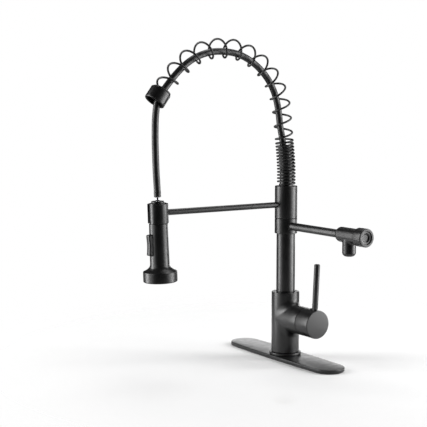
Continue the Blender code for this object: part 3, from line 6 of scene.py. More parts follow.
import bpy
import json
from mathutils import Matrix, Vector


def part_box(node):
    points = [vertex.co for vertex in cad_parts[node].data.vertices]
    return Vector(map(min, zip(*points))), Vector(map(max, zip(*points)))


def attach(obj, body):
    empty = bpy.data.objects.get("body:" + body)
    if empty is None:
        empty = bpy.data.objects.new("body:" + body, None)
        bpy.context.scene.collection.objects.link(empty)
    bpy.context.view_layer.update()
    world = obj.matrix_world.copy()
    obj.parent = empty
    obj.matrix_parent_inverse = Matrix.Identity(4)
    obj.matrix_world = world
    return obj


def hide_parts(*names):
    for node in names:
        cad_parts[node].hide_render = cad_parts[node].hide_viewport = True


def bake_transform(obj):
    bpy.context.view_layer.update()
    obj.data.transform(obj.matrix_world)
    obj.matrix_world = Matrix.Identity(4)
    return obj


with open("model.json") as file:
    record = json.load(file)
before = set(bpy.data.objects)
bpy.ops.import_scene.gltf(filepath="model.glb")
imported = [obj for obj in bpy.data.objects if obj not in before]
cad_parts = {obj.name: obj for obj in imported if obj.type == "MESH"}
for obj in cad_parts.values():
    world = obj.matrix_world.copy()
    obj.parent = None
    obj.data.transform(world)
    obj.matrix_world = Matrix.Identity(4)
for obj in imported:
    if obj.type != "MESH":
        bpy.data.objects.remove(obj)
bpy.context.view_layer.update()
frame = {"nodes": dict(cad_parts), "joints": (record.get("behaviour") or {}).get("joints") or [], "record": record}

import json
from math import asin, atan2, cos, pi, radians, sin, sqrt

import bmesh
import bpy
import numpy as np
from mathutils import Matrix, Vector

MM = 0.001
ROUND = 96  # facets round a large turned piece
SMALL_ROUND = 48  # facets round a small one
SMALL_RADIUS = 12 * MM
TUCK = 0.05 * MM  # how far a visual surface stays inside the CAD box
EDGE = 0.5 * MM  # usual softened edge
GAP = 0.3 * MM  # between pieces that meet
CREASE = radians(40)  # sharper corners than this stay crisp
HAIR_EDGE = 0.1 * MM  # the smallest softened edge
FINE_EDGE = 0.2 * MM
SLIGHT_EDGE = 0.3 * MM
AXIS = 1e-7  # a profile point nearer the axis than this is on it

JOINTS = {joint["name"]: joint for joint in frame["joints"]}
IDENTITY = Matrix.Identity(4)


def extent(node, axis):
    """Lowest and highest coordinate of a CAD node along an axis."""
    low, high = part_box(node)
    return low["xyz".index(axis)], high["xyz".index(axis)]


def half_width(node, axis="x"):
    low, high = extent(node, axis)
    return (high - low) / 2


def joint_place(name):
    """A frame at a joint's point, with +Z along the joint's axis."""
    joint = JOINTS[name]
    turn = Vector(joint["axis"]).to_track_quat("Z", "Y").to_matrix().to_4x4()
    return Matrix.Translation(joint["pos_m"]) @ turn


def upright(x=0.0, y=0.0, z=0.0):
    return Matrix.Translation((x, y, z))


def along_x(x=0.0, y=0.0, z=0.0):
    return Matrix.Translation((x, y, z)) @ Matrix.Rotation(pi / 2, 4, "Y")


# Camera

CAMERA_PLACE = (1.4121, -1.0798, 0.4187)
CAMERA_AZIMUTH = 56.29
CAMERA_PITCH = 6.03
CAMERA_LENS = 95.2
CAMERA_SENSOR = 36
CAMERA_CLIP = 30


def make_camera():
    camera = bpy.data.objects.new("camera", bpy.data.cameras.new("camera"))
    bpy.context.scene.collection.objects.link(camera)
    camera.location = CAMERA_PLACE
    camera.rotation_euler = (radians(90 - CAMERA_PITCH), 0, radians(CAMERA_AZIMUTH))
    camera.data.lens = CAMERA_LENS
    camera.data.sensor_width = CAMERA_SENSOR
    camera.data.clip_end = CAMERA_CLIP
    bpy.context.scene.camera = camera


make_camera()

# Materials


def add_node(tree, kind, **sockets):
    """A shader node with its sockets set. From_Min stands for the socket From Min."""
    node = tree.nodes.new("ShaderNode" + kind)
    for name, value in sockets.items():
        node.inputs[name.replace("_", " ")].default_value = value
    return node


class Surface:
    """Builds a Principled material with procedural colour, roughness and grain in object space."""

    def __init__(self, name, roughness, metallic=0.0):
        self.material = bpy.data.materials.new(name)
        self.material.use_nodes = True
        self.tree = self.material.node_tree
        self.shader = self.tree.nodes["Principled BSDF"]
        self.shader.inputs["Roughness"].default_value = roughness
        self.shader.inputs["Metallic"].default_value = metallic
        self.place = self.tree.nodes.new("ShaderNodeTexCoord").outputs["Object"]
        self.height = None

    def link(self, source, target):
        self.tree.links.new(source, target)

    def stretched(self, scale):
        mapping = add_node(self.tree, "Mapping", Scale=scale)
        self.link(self.place, mapping.inputs["Vector"])
        return mapping.outputs["Vector"]

    def noise(self, scale, detail=3.0, stretch=(1, 1, 1)):
        node = add_node(self.tree, "TexNoise", Scale=scale, Detail=detail)
        self.link(self.stretched(stretch), node.inputs["Vector"])
        return node.outputs["Fac"]

    def colours(self, value, first, second, start=0.35, end=0.65):
        ramp = self.tree.nodes.new("ShaderNodeValToRGB")
        for element, position, colour in zip(ramp.color_ramp.elements, (start, end), (first, second)):
            element.position = position
            element.color = (*colour, 1)
        self.link(value, ramp.inputs["Fac"])
        self.link(ramp.outputs["Color"], self.shader.inputs["Base Color"])

    def roughness(self, value, low, high, start=0.3, end=0.7):
        node = add_node(self.tree, "MapRange", From_Min=start, From_Max=end, To_Min=low, To_Max=high)
        self.link(value, node.inputs["Value"])
        self.link(node.outputs["Result"], self.shader.inputs["Roughness"])

    def bump(self, value, depth, strength=1.0):
        node = add_node(self.tree, "Bump", Distance=depth, Strength=strength)
        self.link(value, node.inputs["Height"])
        if self.height is not None:
            self.link(self.height, node.inputs["Normal"])
        self.height = node.outputs["Normal"]
        self.link(self.height, self.shader.inputs["Normal"])


def powder_coat(name, dark, light, gloss):
    """Matte black powder coat: fine orange peel, faint mottling and a little uneven gloss."""
    coat = Surface(name, gloss)
    coat.colours(coat.noise(38, 4), dark, light)
    coat.roughness(coat.noise(120, 3), gloss - 0.03, gloss + 0.05)
    coat.bump(coat.noise(1500, 2), 0.015 * MM, 0.5)
    coat.bump(coat.noise(320, 2), 0.02 * MM, 0.3)
    return coat.material


def sheath(name):
    """Black hose: a faint wound texture round a smooth satin skin."""
    skin = Surface(name, 0.42)
    skin.colours(skin.noise(90, 3), (0.002, 0.002, 0.0022), (0.005, 0.005, 0.0054))
    skin.roughness(skin.noise(260, 2), 0.36, 0.5)
    skin.bump(skin.noise(900, 2, (1, 1, 0.35)), 0.05 * MM, 0.5)
    return skin.material


def machined(name, dark, light, gloss, stretch):
    metal = Surface(name, gloss, 1.0)
    metal.colours(metal.noise(60, 4), dark, light)
    metal.roughness(metal.noise(500, 2, stretch), gloss - 0.06, gloss + 0.1)
    metal.bump(metal.noise(900, 2, stretch), 0.01 * MM, 0.5)
    return metal.material


def moulded(name, dark, light, gloss, grain=1400):
    plastic = Surface(name, gloss)
    plastic.colours(plastic.noise(70, 3), dark, light)
    plastic.roughness(plastic.noise(200, 3), gloss - 0.05, gloss + 0.08)
    plastic.bump(plastic.noise(grain, 2), 0.02 * MM, 0.5)
    return plastic.material


BLACK = powder_coat("powder_black", (0.0055, 0.0055, 0.0057), (0.009, 0.009, 0.0093), 0.33)
WIRE_BLACK = powder_coat("wire_black", (0.003, 0.003, 0.0032), (0.005, 0.005, 0.0052), 0.46)
HOSE_BLACK = sheath("hose_black")
RUBBER = moulded("black_rubber", (0.012, 0.012, 0.012), (0.022, 0.022, 0.022), 0.62)
NOZZLE_RUBBER = moulded("nozzle_rubber", (0.035, 0.035, 0.036), (0.05, 0.05, 0.052), 0.55)
BRASS = machined("turned_brass", (0.56, 0.40, 0.18), (0.68, 0.51, 0.26), 0.28, (1, 1, 8))
STEEL = machined("turned_steel", (0.50, 0.50, 0.52), (0.66, 0.66, 0.68), 0.26, (1, 1, 8))
CERAMIC = moulded("lapped_ceramic", (0.80, 0.80, 0.77), (0.88, 0.88, 0.86), 0.2, 400)
BLACK_PLASTIC = moulded("black_moulding", (0.02, 0.02, 0.021), (0.032, 0.032, 0.034), 0.45)
WHITE_PLASTIC = moulded("white_moulding", (0.68, 0.68, 0.65), (0.78, 0.78, 0.75), 0.42)
CAD_MATERIALS = {
    "matte_black": BLACK,
    "black_hose": HOSE_BLACK,
    "rubber": RUBBER,
    "brass": BRASS,
    "stainless": STEEL,
    "ceramic": CERAMIC,
    "black_plastic": BLACK_PLASTIC,
    "white_plastic": WHITE_PLASTIC,
}

# Mesh tools


def add_mesh(name, points, faces, material, placed=IDENTITY, crease=CREASE):
    mesh = bpy.data.meshes.new(name)
    mesh.from_pydata([tuple(point) for point in points], [], faces)
    work = bmesh.new()
    work.from_mesh(mesh)
    bmesh.ops.recalc_face_normals(work, faces=work.faces)
    work.to_mesh(mesh)
    work.free()
    mesh.shade_smooth()
    mesh.set_sharp_from_angle(angle=crease)
    mesh.materials.append(material)
    obj = bpy.data.objects.new(name, mesh)
    bpy.context.scene.collection.objects.link(obj)
    mesh.transform(placed)
    return obj


def settle(obj, body, slot, *nodes):
    """Rides the piece on its body and lets it stand for the CAD nodes. The slot argument is not used."""
    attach(obj, body)
    if nodes:
        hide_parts(*nodes)
    return obj


def softened(corners, closed=False, steps=4):
    """A profile whose corners (r, z, rounding) are rounded with short curves."""
    points = []
    count = len(corners)
    for i, corner in enumerate(corners):
        here = Vector(corner[:2])
        rounding = corner[2] if len(corner) > 2 else 0.0
        at_end = not closed and i in (0, count - 1)
        if rounding <= 0.0 or at_end:
            points.append(here)
            continue
        back = Vector(corners[i - 1][:2]) - here
        ahead = Vector(corners[(i + 1) % count][:2]) - here
        reach_back = min(rounding, 0.49 * back.length)
        reach_ahead = min(rounding, 0.49 * ahead.length)
        first = here + back.normalized() * reach_back
        last = here + ahead.normalized() * reach_ahead
        for k in range(steps + 1):
            t = k / steps
            points.append((1 - t) ** 2 * first + 2 * t * (1 - t) * here + t * t * last)
    return points


def ring_faces(rings, closed):
    """Quads and end fans between rings of point numbers. A ring of one point is a pole."""
    faces = []
    pairs = list(zip(rings, rings[1:]))
    if closed:
        pairs.append((rings[-1], rings[0]))
    for upper, lower in pairs:
        count = max(len(upper), len(lower))
        for k in range(count):
            n = (k + 1) % count
            if len(upper) == 1 and len(lower) == 1:
                continue
            if len(upper) == 1:
                faces.append((upper[0], lower[k], lower[n]))
            elif len(lower) == 1:
                faces.append((upper[k], lower[0], upper[n]))
            else:
                faces.append((upper[k], lower[k], lower[n], upper[n]))
    return faces


def lathe(name, corners, material, placed=IDENTITY, steps=4):
    """Turns a profile of (r, z, rounding) about local Z. One that starts off the axis is a loop."""
    closed = corners[0][0] > AXIS
    around = ROUND if max(corner[0] for corner in corners) > SMALL_RADIUS else SMALL_ROUND
    profile = softened(corners, closed, steps)
    points = []
    rings = []
    for r, z in profile:
        if r < AXIS:
            rings.append([len(points)])
            points.append((0.0, 0.0, z))
            continue
        rings.append(list(range(len(points), len(points) + around)))
        points += circle(r, z, around)
    return add_mesh(name, points, ring_faces(rings, closed), material, placed)


def ring(outer, inner, top, bottom, edge=EDGE):
    return [(outer, top, edge), (outer, bottom, edge), (inner, bottom, edge / 2), (inner, top, edge / 2)]


def swept(name, line, radius, around, material):
    """A round tube along a line of points, with flat ends, its rings kept from twisting."""
    points = []
    rings = []
    side = None
    count = len(line)
    for i, centre in enumerate(line):
        ahead = (line[min(i + 1, count - 1)] - line[max(i - 1, 0)]).normalized()
        if side is None:
            side = ahead.orthogonal().normalized()
        side = (side - ahead * side.dot(ahead)).normalized()
        other = ahead.cross(side)
        rings.append(list(range(len(points), len(points) + around)))
        for k in range(around):
            angle = 2 * pi * k / around
            points.append(centre + radius * (cos(angle) * side + sin(angle) * other))
    ends = [[len(points)], [len(points) + 1]]
    points += [line[0], line[-1]]
    return add_mesh(name, points, ring_faces([ends[0], *rings, ends[1]], False), material)


def stacked(sections):
    """All points of sections with equal numbers of points, and the point numbers of each section."""
    size = len(sections[0])
    points = [point for section in sections for point in section]
    return points, [list(range(i * size, (i + 1) * size)) for i in range(len(sections))]


def circle(radius, z, around=ROUND):
    turns = [2 * pi * k / around for k in range(around)]
    return [(radius * cos(turn), radius * sin(turn), z) for turn in turns]


def lofted(name, sections, material, placed=IDENTITY):
    """A closed body through sections of equal numbers of points, with flat ends."""
    points, rings = stacked(sections)
    faces = ring_faces(rings, False)
    faces.append(tuple(rings[0]))
    faces.append(tuple(reversed(rings[-1])))
    return add_mesh(name, points, faces, material, placed)


def rounded_box_outline(width, depth, rounding, steps=5):
    """A rounded rectangle about the origin, anticlockwise, as (x, y) points."""
    points = []
    for quarter, (sx, sy) in enumerate(((1, 1), (-1, 1), (-1, -1), (1, -1))):
        for k in range(steps + 1):
            angle = pi / 2 * (quarter + k / steps)
            x = sx * (width / 2 - rounding) + rounding * cos(angle)
            y = sy * (depth / 2 - rounding) + rounding * sin(angle)
            points.append((x, y))
    return points


def carved(obj, cutter):
    """Subtracts a helper from a piece and removes the helper."""
    modifier = obj.modifiers.new("carve", "BOOLEAN")
    modifier.operation = "DIFFERENCE"
    modifier.solver = "EXACT"
    modifier.object = cutter
    bpy.context.view_layer.update()
    graph = bpy.context.evaluated_depsgraph_get()
    mesh = bpy.data.meshes.new_from_object(obj.evaluated_get(graph))
    obj.modifiers.clear()
    obj.data = mesh
    mesh.shade_smooth()
    mesh.set_sharp_from_angle(angle=CREASE)
    bpy.data.objects.remove(cutter, do_unlink=True)
    return obj


# Blended castings

SMOOTHINGS = 4
SLOPE_STEP = 0.02  # how far apart a slope is measured, as a share of the grid's step
LEAST_SLOPE = 0.05
CASTING_CREASE = radians(50)


def capped_cylinder(along, across, low, high, radius, edge):
    """Distance to a cylinder between two heights, with rounded edges."""
    middle = (low + high) / 2
    reach = (high - low) / 2
    dr = across - (radius - edge)
    dz = np.abs(along - middle) - (reach - edge)
    outside = np.hypot(np.maximum(dr, 0), np.maximum(dz, 0))
    return outside + np.minimum(np.maximum(dr, dz), 0) - edge


def filleted_union(a, b, radius):
    """The nearer of two distances, with a concave fillet of this radius where both are near."""
    ua = np.maximum(radius - a, 0)
    ub = np.maximum(radius - b, 0)
    return np.maximum(radius, np.minimum(a, b)) - np.hypot(ua, ub)


def net_surface(field, low, high, step):
    """Points and quads of the surface where field(x, y, z) is zero, found on a grid of this step."""
    axes = [np.arange(l - 2 * step, h + 3 * step, step) for l, h in zip(low, high)]
    grid = np.meshgrid(*axes, indexing="ij")
    inside = field(*grid) < 0
    cells = np.zeros([n - 1 for n in inside.shape], np.int8)
    for i in (0, 1):
        for j in (0, 1):
            for k in (0, 1):
                cells += inside[i : cells.shape[0] + i, j : cells.shape[1] + j, k : cells.shape[2] + k]
    mixed = (cells > 0) & (cells < 8)
    number = np.full(cells.shape, -1, np.int64)
    number[mixed] = np.arange(mixed.sum())
    corners = np.argwhere(mixed)
    points = np.stack([axes[d][corners[:, d]] + step / 2 for d in range(3)], 1)
    quads = []
    for axis in range(3):
        first = np.take(inside, range(inside.shape[axis] - 1), axis)
        second = np.take(inside, range(1, inside.shape[axis]), axis)
        crossing = np.argwhere(first != second)
        rising = second[tuple(crossing.T)]
        u, v = (axis + 1) % 3, (axis + 2) % 3
        around = []
        for du, dv in ((0, 0), (1, 0), (1, 1), (0, 1)):
            cell = crossing.copy()
            cell[:, u] -= du
            cell[:, v] -= dv
            around.append(number[tuple(cell.T)])
        quad = np.stack(around, 1)
        quad[rising] = quad[rising][:, ::-1]
        quads.append(quad)
    quads = np.concatenate(quads)
    edges = np.concatenate([quads[:, [k, (k + 1) % 4]] for k in range(4)])
    for _ in range(SMOOTHINGS):
        points = drawn_onto(field, points, step)
        total = np.zeros_like(points)
        count = np.zeros(len(points))
        for a, b in ((0, 1), (1, 0)):
            np.add.at(total, edges[:, a], points[edges[:, b]])
            np.add.at(count, edges[:, a], 1)
        points = (points + total / count[:, None]) / 2
    return drawn_onto(field, points, step), quads


def drawn_onto(field, points, step):
    """Moves points along the field's slope onto its zero surface."""
    small = step * SLOPE_STEP
    for _ in range(SMOOTHINGS):
        value = field(*points.T)
        slopes = []
        for nudge in small * np.eye(3):
            slopes.append((field(*(points + nudge).T) - field(*(points - nudge).T)) / (2 * small))
        slope = np.stack(slopes, 1)
        size = np.maximum((slope**2).sum(1), LEAST_SLOPE)
        points = points - slope * (value / size)[:, None]
    return points


def casting(name, field, low, high, step, material):
    points, quads = net_surface(field, low, high, step)
    return add_mesh(name, points.tolist(), quads.tolist(), material, crease=CASTING_CREASE)


# Spring and hose

ROUTE_STEP = 2.0 * MM
SPLINE_STEPS = 40  # points between two marks of a route
WIRE_RADIUS = 1.55 * MM
COIL_RADIUS = 13.2 * MM
OPEN_COIL_RADIUS = 13.9 * MM
CLOSED_PITCH = 5.1 * MM
OPENING_PITCH = 22.4 * MM
ARCH_PITCH = 27.0 * MM
COIL_ABOVE_SLEEVE = 2.3 * MM
CLOSED_LENGTH = 66.0 * MM
PITCH_CHANGE = 16.0 * MM
PITCH_GROWTH = 150.0 * MM
WIDENING = 80.0 * MM
NARROWING = 40.0 * MM
END_LENGTH = 16.0 * MM
END_CHANGE = 8.0 * MM
COLLAR_END_WALL = 2.4 * MM
POINTS_PER_TURN = 48
WIRE_AROUND = 14
HOSE_RADIUS = 5.1 * MM
HOSE_AROUND = 40
HOSE_CLEAR = 0.35 * MM
HOSE_IN_LINER = 3.0 * MM
HOSE_IN_COLLAR = 2.6 * MM
HOSE_LEAVES = 30.0 * MM
HOSE_START = 238.0 * MM
HOSE_STEP = 12.0 * MM
LINER_TOP = 339.0 * MM
DOCK_HEIGHT = JOINTS["sprayer_spin"]["pos_m"][2]
SLEEVE_TOP = extent("dock_ring", "z")[1]

ARCH_ROUTE = [
    (0.0, 0.2700),
    (0.0, 0.3000),
    (-0.0018, 0.3250),
    (-0.0047, 0.3500),
    (-0.0082, 0.3800),
    (-0.0138, 0.4110),
    (-0.0290, 0.4415),
    (-0.0548, 0.4670),
    (-0.0865, 0.4828),
    (-0.1180, 0.4872),
    (-0.1490, 0.4840),
    (-0.1780, 0.4720),
    (-0.2028, 0.4524),
    (-0.2235, 0.4300),
    (-0.2408, 0.4074),
]
DROP_ROUTE = [
    (-0.2302, 0.4166),
    (-0.2360, 0.4046),
    (-0.2379, 0.3930),
    (-0.2390, 0.3810),
    (-0.2394, 0.3660),
    (-0.2394, 0.3470),
    (-0.2388, 0.3250),
    (-0.2380, 0.3050),
    (-0.2370, 0.2900),
]


def resampled(points, step):
    """The same path with evenly spaced points."""
    lengths = [0.0]
    for a, b in zip(points, points[1:]):
        lengths.append(lengths[-1] + (b - a).length)
    count = max(2, round(lengths[-1] / step))
    even = []
    index = 0
    for i in range(count + 1):
        wanted = lengths[-1] * i / count
        while index < len(points) - 2 and lengths[index + 1] < wanted:
            index += 1
        span = lengths[index + 1] - lengths[index]
        even.append(points[index].lerp(points[index + 1], (wanted - lengths[index]) / span))
    return even


def smooth_path(marks, step):
    """Even points along a smooth curve through the given points."""
    marks = [2 * marks[0] - marks[1]] + marks + [2 * marks[-1] - marks[-2]]
    fine = []
    for p0, p1, p2, p3 in zip(marks, marks[1:], marks[2:], marks[3:]):
        for i in range(SPLINE_STEPS):
            t = i / SPLINE_STEPS
            straight = 2 * p1 + (p2 - p0) * t
            bend = (2 * p0 - 5 * p1 + 4 * p2 - p3) * t**2 + (3 * p1 - p0 - 3 * p2 + p3) * t**3
            fine.append(0.5 * (straight + bend))
    fine.append(marks[-2])
    return resampled(fine, step)


def path_length(points):
    return sum((b - a).length for a, b in zip(points, points[1:]))


def in_plane(route):
    return [Vector((0.0, y, z)) for y, z in route]


def arch_frames():
    """Points on the arch's centre line, with the direction towards its inside at each."""
    path = smooth_path(in_plane(ARCH_ROUTE), ROUTE_STEP)
    frames = []
    for i, point in enumerate(path):
        ahead = (path[min(i + 1, len(path) - 1)] - path[max(i - 1, 0)]).normalized()
        frames.append((point, ahead, Vector((1, 0, 0)).cross(ahead)))
    return frames


ARCH = arch_frames()
ARCH_LENGTH = path_length([point for point, _, _ in ARCH])


def at_length(wanted):
    """The centre line's point, direction and inward direction at a length along it."""
    spacing = ARCH_LENGTH / (len(ARCH) - 1)
    index = min(int(max(wanted, 0.0) / spacing), len(ARCH) - 2)
    t = wanted / spacing - index
    (a, da, na), (b, db, nb) = ARCH[index], ARCH[index + 1]
    return a.lerp(b, t), da.lerp(db, t).normalized(), na.lerp(nb, t).normalized()


def eased(t):
    t = min(1.0, max(0.0, t))
    return t * t * (3 - 2 * t)


def pitch_at(length, total):
    rise = eased((length - CLOSED_LENGTH) / PITCH_CHANGE)
    fall = eased((total - END_LENGTH - length) / END_CHANGE)
    growth = eased((length - CLOSED_LENGTH - PITCH_CHANGE) / PITCH_GROWTH)
    open_pitch = OPENING_PITCH + (ARCH_PITCH - OPENING_PITCH) * growth
    return CLOSED_PITCH + (open_pitch - CLOSED_PITCH) * min(rise, fall)


def coil_radius_at(length, total):
    widened = eased((length - CLOSED_LENGTH) / WIDENING)
    narrowed = eased((total - END_LENGTH - length) / NARROWING)
    return COIL_RADIUS + (OPEN_COIL_RADIUS - COIL_RADIUS) * widened * narrowed


def coil_points():
    start = SLEEVE_TOP + COIL_ABOVE_SLEEVE - ARCH[0][0].z
    total = ARCH_LENGTH - start - COLLAR_END_WALL - WIRE_RADIUS - GAP
    points = []
    length = 0.0
    angle = 0.0
    while length < total:
        centre, ahead, inside = at_length(start + length)
        outward = cos(angle) * inside + sin(angle) * ahead.cross(inside)
        points.append(centre + coil_radius_at(length, total) * outward)
        length += pitch_at(length, total) / POINTS_PER_TURN
        angle += 2 * pi / POINTS_PER_TURN
    return points


def hose_offset(run, total):
    liner = LINER_TOP - ARCH_ROUTE[0][1]
    inside = COIL_RADIUS - WIRE_RADIUS - HOSE_RADIUS - HOSE_CLEAR
    in_liner = HOSE_IN_LINER * eased(run / liner)
    on_arch = inside - (inside - HOSE_IN_COLLAR) * eased((run - total / 2) * 2 / total)
    return in_liner + (on_arch - HOSE_IN_LINER) * eased((run - liner) / NARROWING)


def hose_lines(ferrule_top):
    """The hose's centre line on the arch, and hanging free from the collar to the ferrule."""
    total = ARCH_LENGTH - HOSE_LEAVES
    knots = [Vector((0, 0, HOSE_START)), Vector((0, 0, HOSE_START + HOSE_STEP))]
    count = int(total / (2 * HOSE_STEP))
    for i in range(count + 1):
        run = total * i / count
        point, _, inside = at_length(run)
        knots.append(point + inside * hose_offset(run, total))
    knots += in_plane(DROP_ROUTE)
    knots.append(ferrule_top)
    fine = smooth_path(knots, MM)
    leaves = in_plane(DROP_ROUTE)[1]
    split = min(range(len(fine)), key=lambda i: (fine[i] - leaves).length)
    return fine[: split + 1], fine[split:]


DOCK = joint_place("sprayer_spin")
NECK_TOP = 14.5 * MM
TOP_CAP_HEIGHT = 2.8 * MM
TOP_CAP_RADIUS = 9.5 * MM
STUD_BALL_RADIUS = 3.3 * MM
STUD_RADIUS = 2.3 * MM
STUD_NECK = 0.72  # the ball meets its stem this share of its radius from its middle
STUD_STEPS = 20
STUD_ROOT = 3 * MM
FERRULE_LENGTH = 8.0 * MM
CRIMP_FROM_TOP = 1.7 * MM
BALL_HEIGHT = NECK_TOP + TOP_CAP_HEIGHT + STUD_BALL_RADIUS - 0.4 * MM
FERRULE_BOTTOM = BALL_HEIGHT + STUD_BALL_RADIUS - 0.2 * MM
FERRULE_TOP = FERRULE_BOTTOM + FERRULE_LENGTH


SWEEP_STEP = 3 * MM


def make_spring():
    spring = swept("neck_spring", coil_points(), WIRE_RADIUS, WIRE_AROUND, WIRE_BLACK)
    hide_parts("arch_spring")
    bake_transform(spring)


def make_hose():
    arch, drop = hose_lines(DOCK @ Vector((0, 0, FERRULE_TOP + GAP)))
    upper = swept("hose_on_arch", resampled(arch, SWEEP_STEP), HOSE_RADIUS, HOSE_AROUND, HOSE_BLACK)
    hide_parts("hose_arch")
    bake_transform(upper)
    line = resampled(drop, SWEEP_STEP)
    lower = swept("hose_to_sprayer", line, HOSE_RADIUS, HOSE_AROUND, HOSE_BLACK)
    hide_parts("hose_drop")
    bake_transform(lower)


make_spring()
make_hose()

# Deck plate and base

PLATE_END_RADIUS = 24.5 * MM
PLATE_ROUNDING = 1.3 * MM
PLATE_EDGE_STEPS = 6
PLATE_LIP = 1.5 * MM
PLATE_GROOVE = 0.45 * MM
PLATE_HOLE = 17.5 * MM


def plate_outline(length, width, end_radius, end_steps=40, side_steps=60):
    """A long outline with round ends and gently bowed long sides, anticlockwise."""
    straight = length / 2 - end_radius
    bow = width / 2 - end_radius
    side_radius = (straight**2 + bow**2) / (2 * bow)
    half_angle = asin(straight / side_radius)
    points = []
    for turn in (0.0, pi):
        for i in range(end_steps + 1):
            angle = -pi / 2 + pi * i / end_steps
            points.append((straight + end_radius * cos(angle), end_radius * sin(angle), turn))
        for i in range(1, side_steps):
            angle = half_angle - 2 * half_angle * i / side_steps
            points.append((side_radius * sin(angle), width / 2 - side_radius * (1 - cos(angle)), turn))
    return [(x * cos(t) - y * sin(t), x * sin(t) + y * cos(t)) for x, y, t in points]


def make_deck_plate():
    length = 2 * half_width("deck_plate")
    width = 2 * half_width("deck_plate", "y")
    bottom, top = extent("deck_plate", "z")
    levels = []
    for k in range(PLATE_EDGE_STEPS + 1):
        angle = pi / 2 * k / PLATE_EDGE_STEPS
        levels.append((PLATE_ROUNDING * (1 - sin(angle)), top - PLATE_ROUNDING * (1 - cos(angle))))
    groove = bottom + PLATE_LIP
    levels += [
        (0.0, groove + PLATE_GROOVE),
        (PLATE_GROOVE, groove + PLATE_GROOVE * 0.7),
        (PLATE_GROOVE, groove + PLATE_GROOVE * 0.3),
        (0.0, groove),
        (0.0, bottom + EDGE),
        (EDGE, bottom),
    ]
    sections = []
    for inset, z in levels:
        outline = plate_outline(length - 2 * inset, width - 2 * inset, PLATE_END_RADIUS - inset)
        sections.append([(x, y, z) for x, y in outline])
    angles = [atan2(y, x) for x, y, _ in sections[0]]
    hole = [(PLATE_HOLE * cos(angle), PLATE_HOLE * sin(angle)) for angle in angles]
    sections.insert(0, [(x, y, top) for x, y in hole])
    sections.append([(x, y, bottom) for x, y in hole])
    points, rings = stacked(sections)
    plate = add_mesh("deck_cover_plate", points, ring_faces(rings, True), BLACK)
    settle(plate, "fixed_base", "matte_black", "deck_plate")


def make_base_ring():
    bottom, top = extent("base_ring", "z")
    corners = [
        (half_width("base_ring"), top, 1.1 * MM),
        (half_width("base_ring"), bottom, 0.3 * MM),
        (PLATE_HOLE, bottom),
        (PLATE_HOLE, top),
    ]
    settle(lathe("base_flange", corners, BLACK), "fixed_base", "matte_black", "base_ring")


make_deck_plate()
make_base_ring()

# Mixer body

PIVOT = Vector(JOINTS["handle_tilt"]["pos_m"])
CAP_RADIUS = half_width("handle_cap", "y")
CAP_BEHIND_PIVOT = 10.0 * MM
CAP_CHAMFER = 0.8 * MM
CUP_CLEAR = 0.25 * MM
CUP_RADIUS = sqrt(CAP_RADIUS**2 + (CAP_BEHIND_PIVOT - CAP_CHAMFER) ** 2) + CUP_CLEAR
CUP_DEPTH = 18.0 * MM
CUP_STEPS = 16
MOUTH_EDGE = 0.25 * MM
SEAM_WIDTH = 1.9 * MM
SEAM_DEPTH = 2 * MM
SEAM_PROUD = 0.02 * MM
BODY_STEP = 0.8 * MM
BODY_FILLET = 9.0 * MM
SLEEVE_FROM = 37.0 * MM
SLEEVE_LAP = 3.0 * MM
COLUMN_RADIUS = half_width("column_tube")
BODY_TOP = extent("mixer_body", "z")[1]
BODY_BOTTOM = extent("mixer_body", "z")[0]
BODY_RADIUS = half_width("mixer_body", "y")
BRANCH_END = extent("mixer_body", "x")[1]


def body_field(x, y, z):
    """Barrel and branch as one casting. The fillet fades out where their walls run side by side."""
    rise = z - PIVOT.z
    from_column = np.hypot(x, y)
    from_branch = np.hypot(y, rise)
    barrel = capped_cylinder(z, from_column, BODY_BOTTOM, BODY_TOP, BODY_RADIUS - TUCK, EDGE)
    branch_end = SLEEVE_FROM + SLEEVE_LAP
    branch = capped_cylinder(x, from_branch, 0.0, branch_end, CAP_RADIUS - 1.4 * TUCK, TUCK)
    facing = y * y / np.maximum(from_column * from_branch, 1e-9)
    fillet = BODY_FILLET * np.clip(1 - facing**2, 0.02, 1)
    return filleted_union(barrel, branch, fillet)


def make_mixer_body():
    low = (-BODY_RADIUS, -BODY_RADIUS, BODY_BOTTOM)
    high = (SLEEVE_FROM + SLEEVE_LAP, BODY_RADIUS, BODY_TOP)
    body = casting("mixer_casting", body_field, low, high, BODY_STEP, BLACK)
    settle(body, "fixed_base", "matte_black", "mixer_body")
    mouth = BRANCH_END - PIVOT.x
    back = SLEEVE_FROM - FINE_EDGE - PIVOT.x
    inner = 0.6 * CAP_RADIUS
    corners = [(CAP_RADIUS - TUCK, mouth, MOUTH_EDGE), (CAP_RADIUS - TUCK, back), (inner, back)]
    corners += [(inner, -CUP_DEPTH), (sqrt(CUP_RADIUS**2 - CUP_DEPTH**2), -CUP_DEPTH)]
    start = asin(CUP_DEPTH / CUP_RADIUS)
    end = asin(-mouth / CUP_RADIUS)
    for i in range(1, CUP_STEPS + 1):
        angle = start + (end - start) * i / CUP_STEPS
        corners.append((CUP_RADIUS * cos(angle), -CUP_RADIUS * sin(angle)))
    sleeve = lathe("branch_mouth", corners, BLACK, along_x(PIVOT.x, 0, PIVOT.z))
    settle(sleeve, "fixed_base", "matte_black")
    seam_top = BODY_TOP + SEAM_PROUD - TUCK
    outer = COLUMN_RADIUS + SEAM_WIDTH
    inner = COLUMN_RADIUS + FINE_EDGE
    seam = [(outer, seam_top, HAIR_EDGE), (outer, BODY_TOP - SEAM_DEPTH)]
    seam += [(inner, BODY_TOP - SEAM_DEPTH), (inner, seam_top, HAIR_EDGE)]
    settle(lathe("swivel_seam", seam, RUBBER), "fixed_base", "matte_black")


make_mixer_body()

# Handle

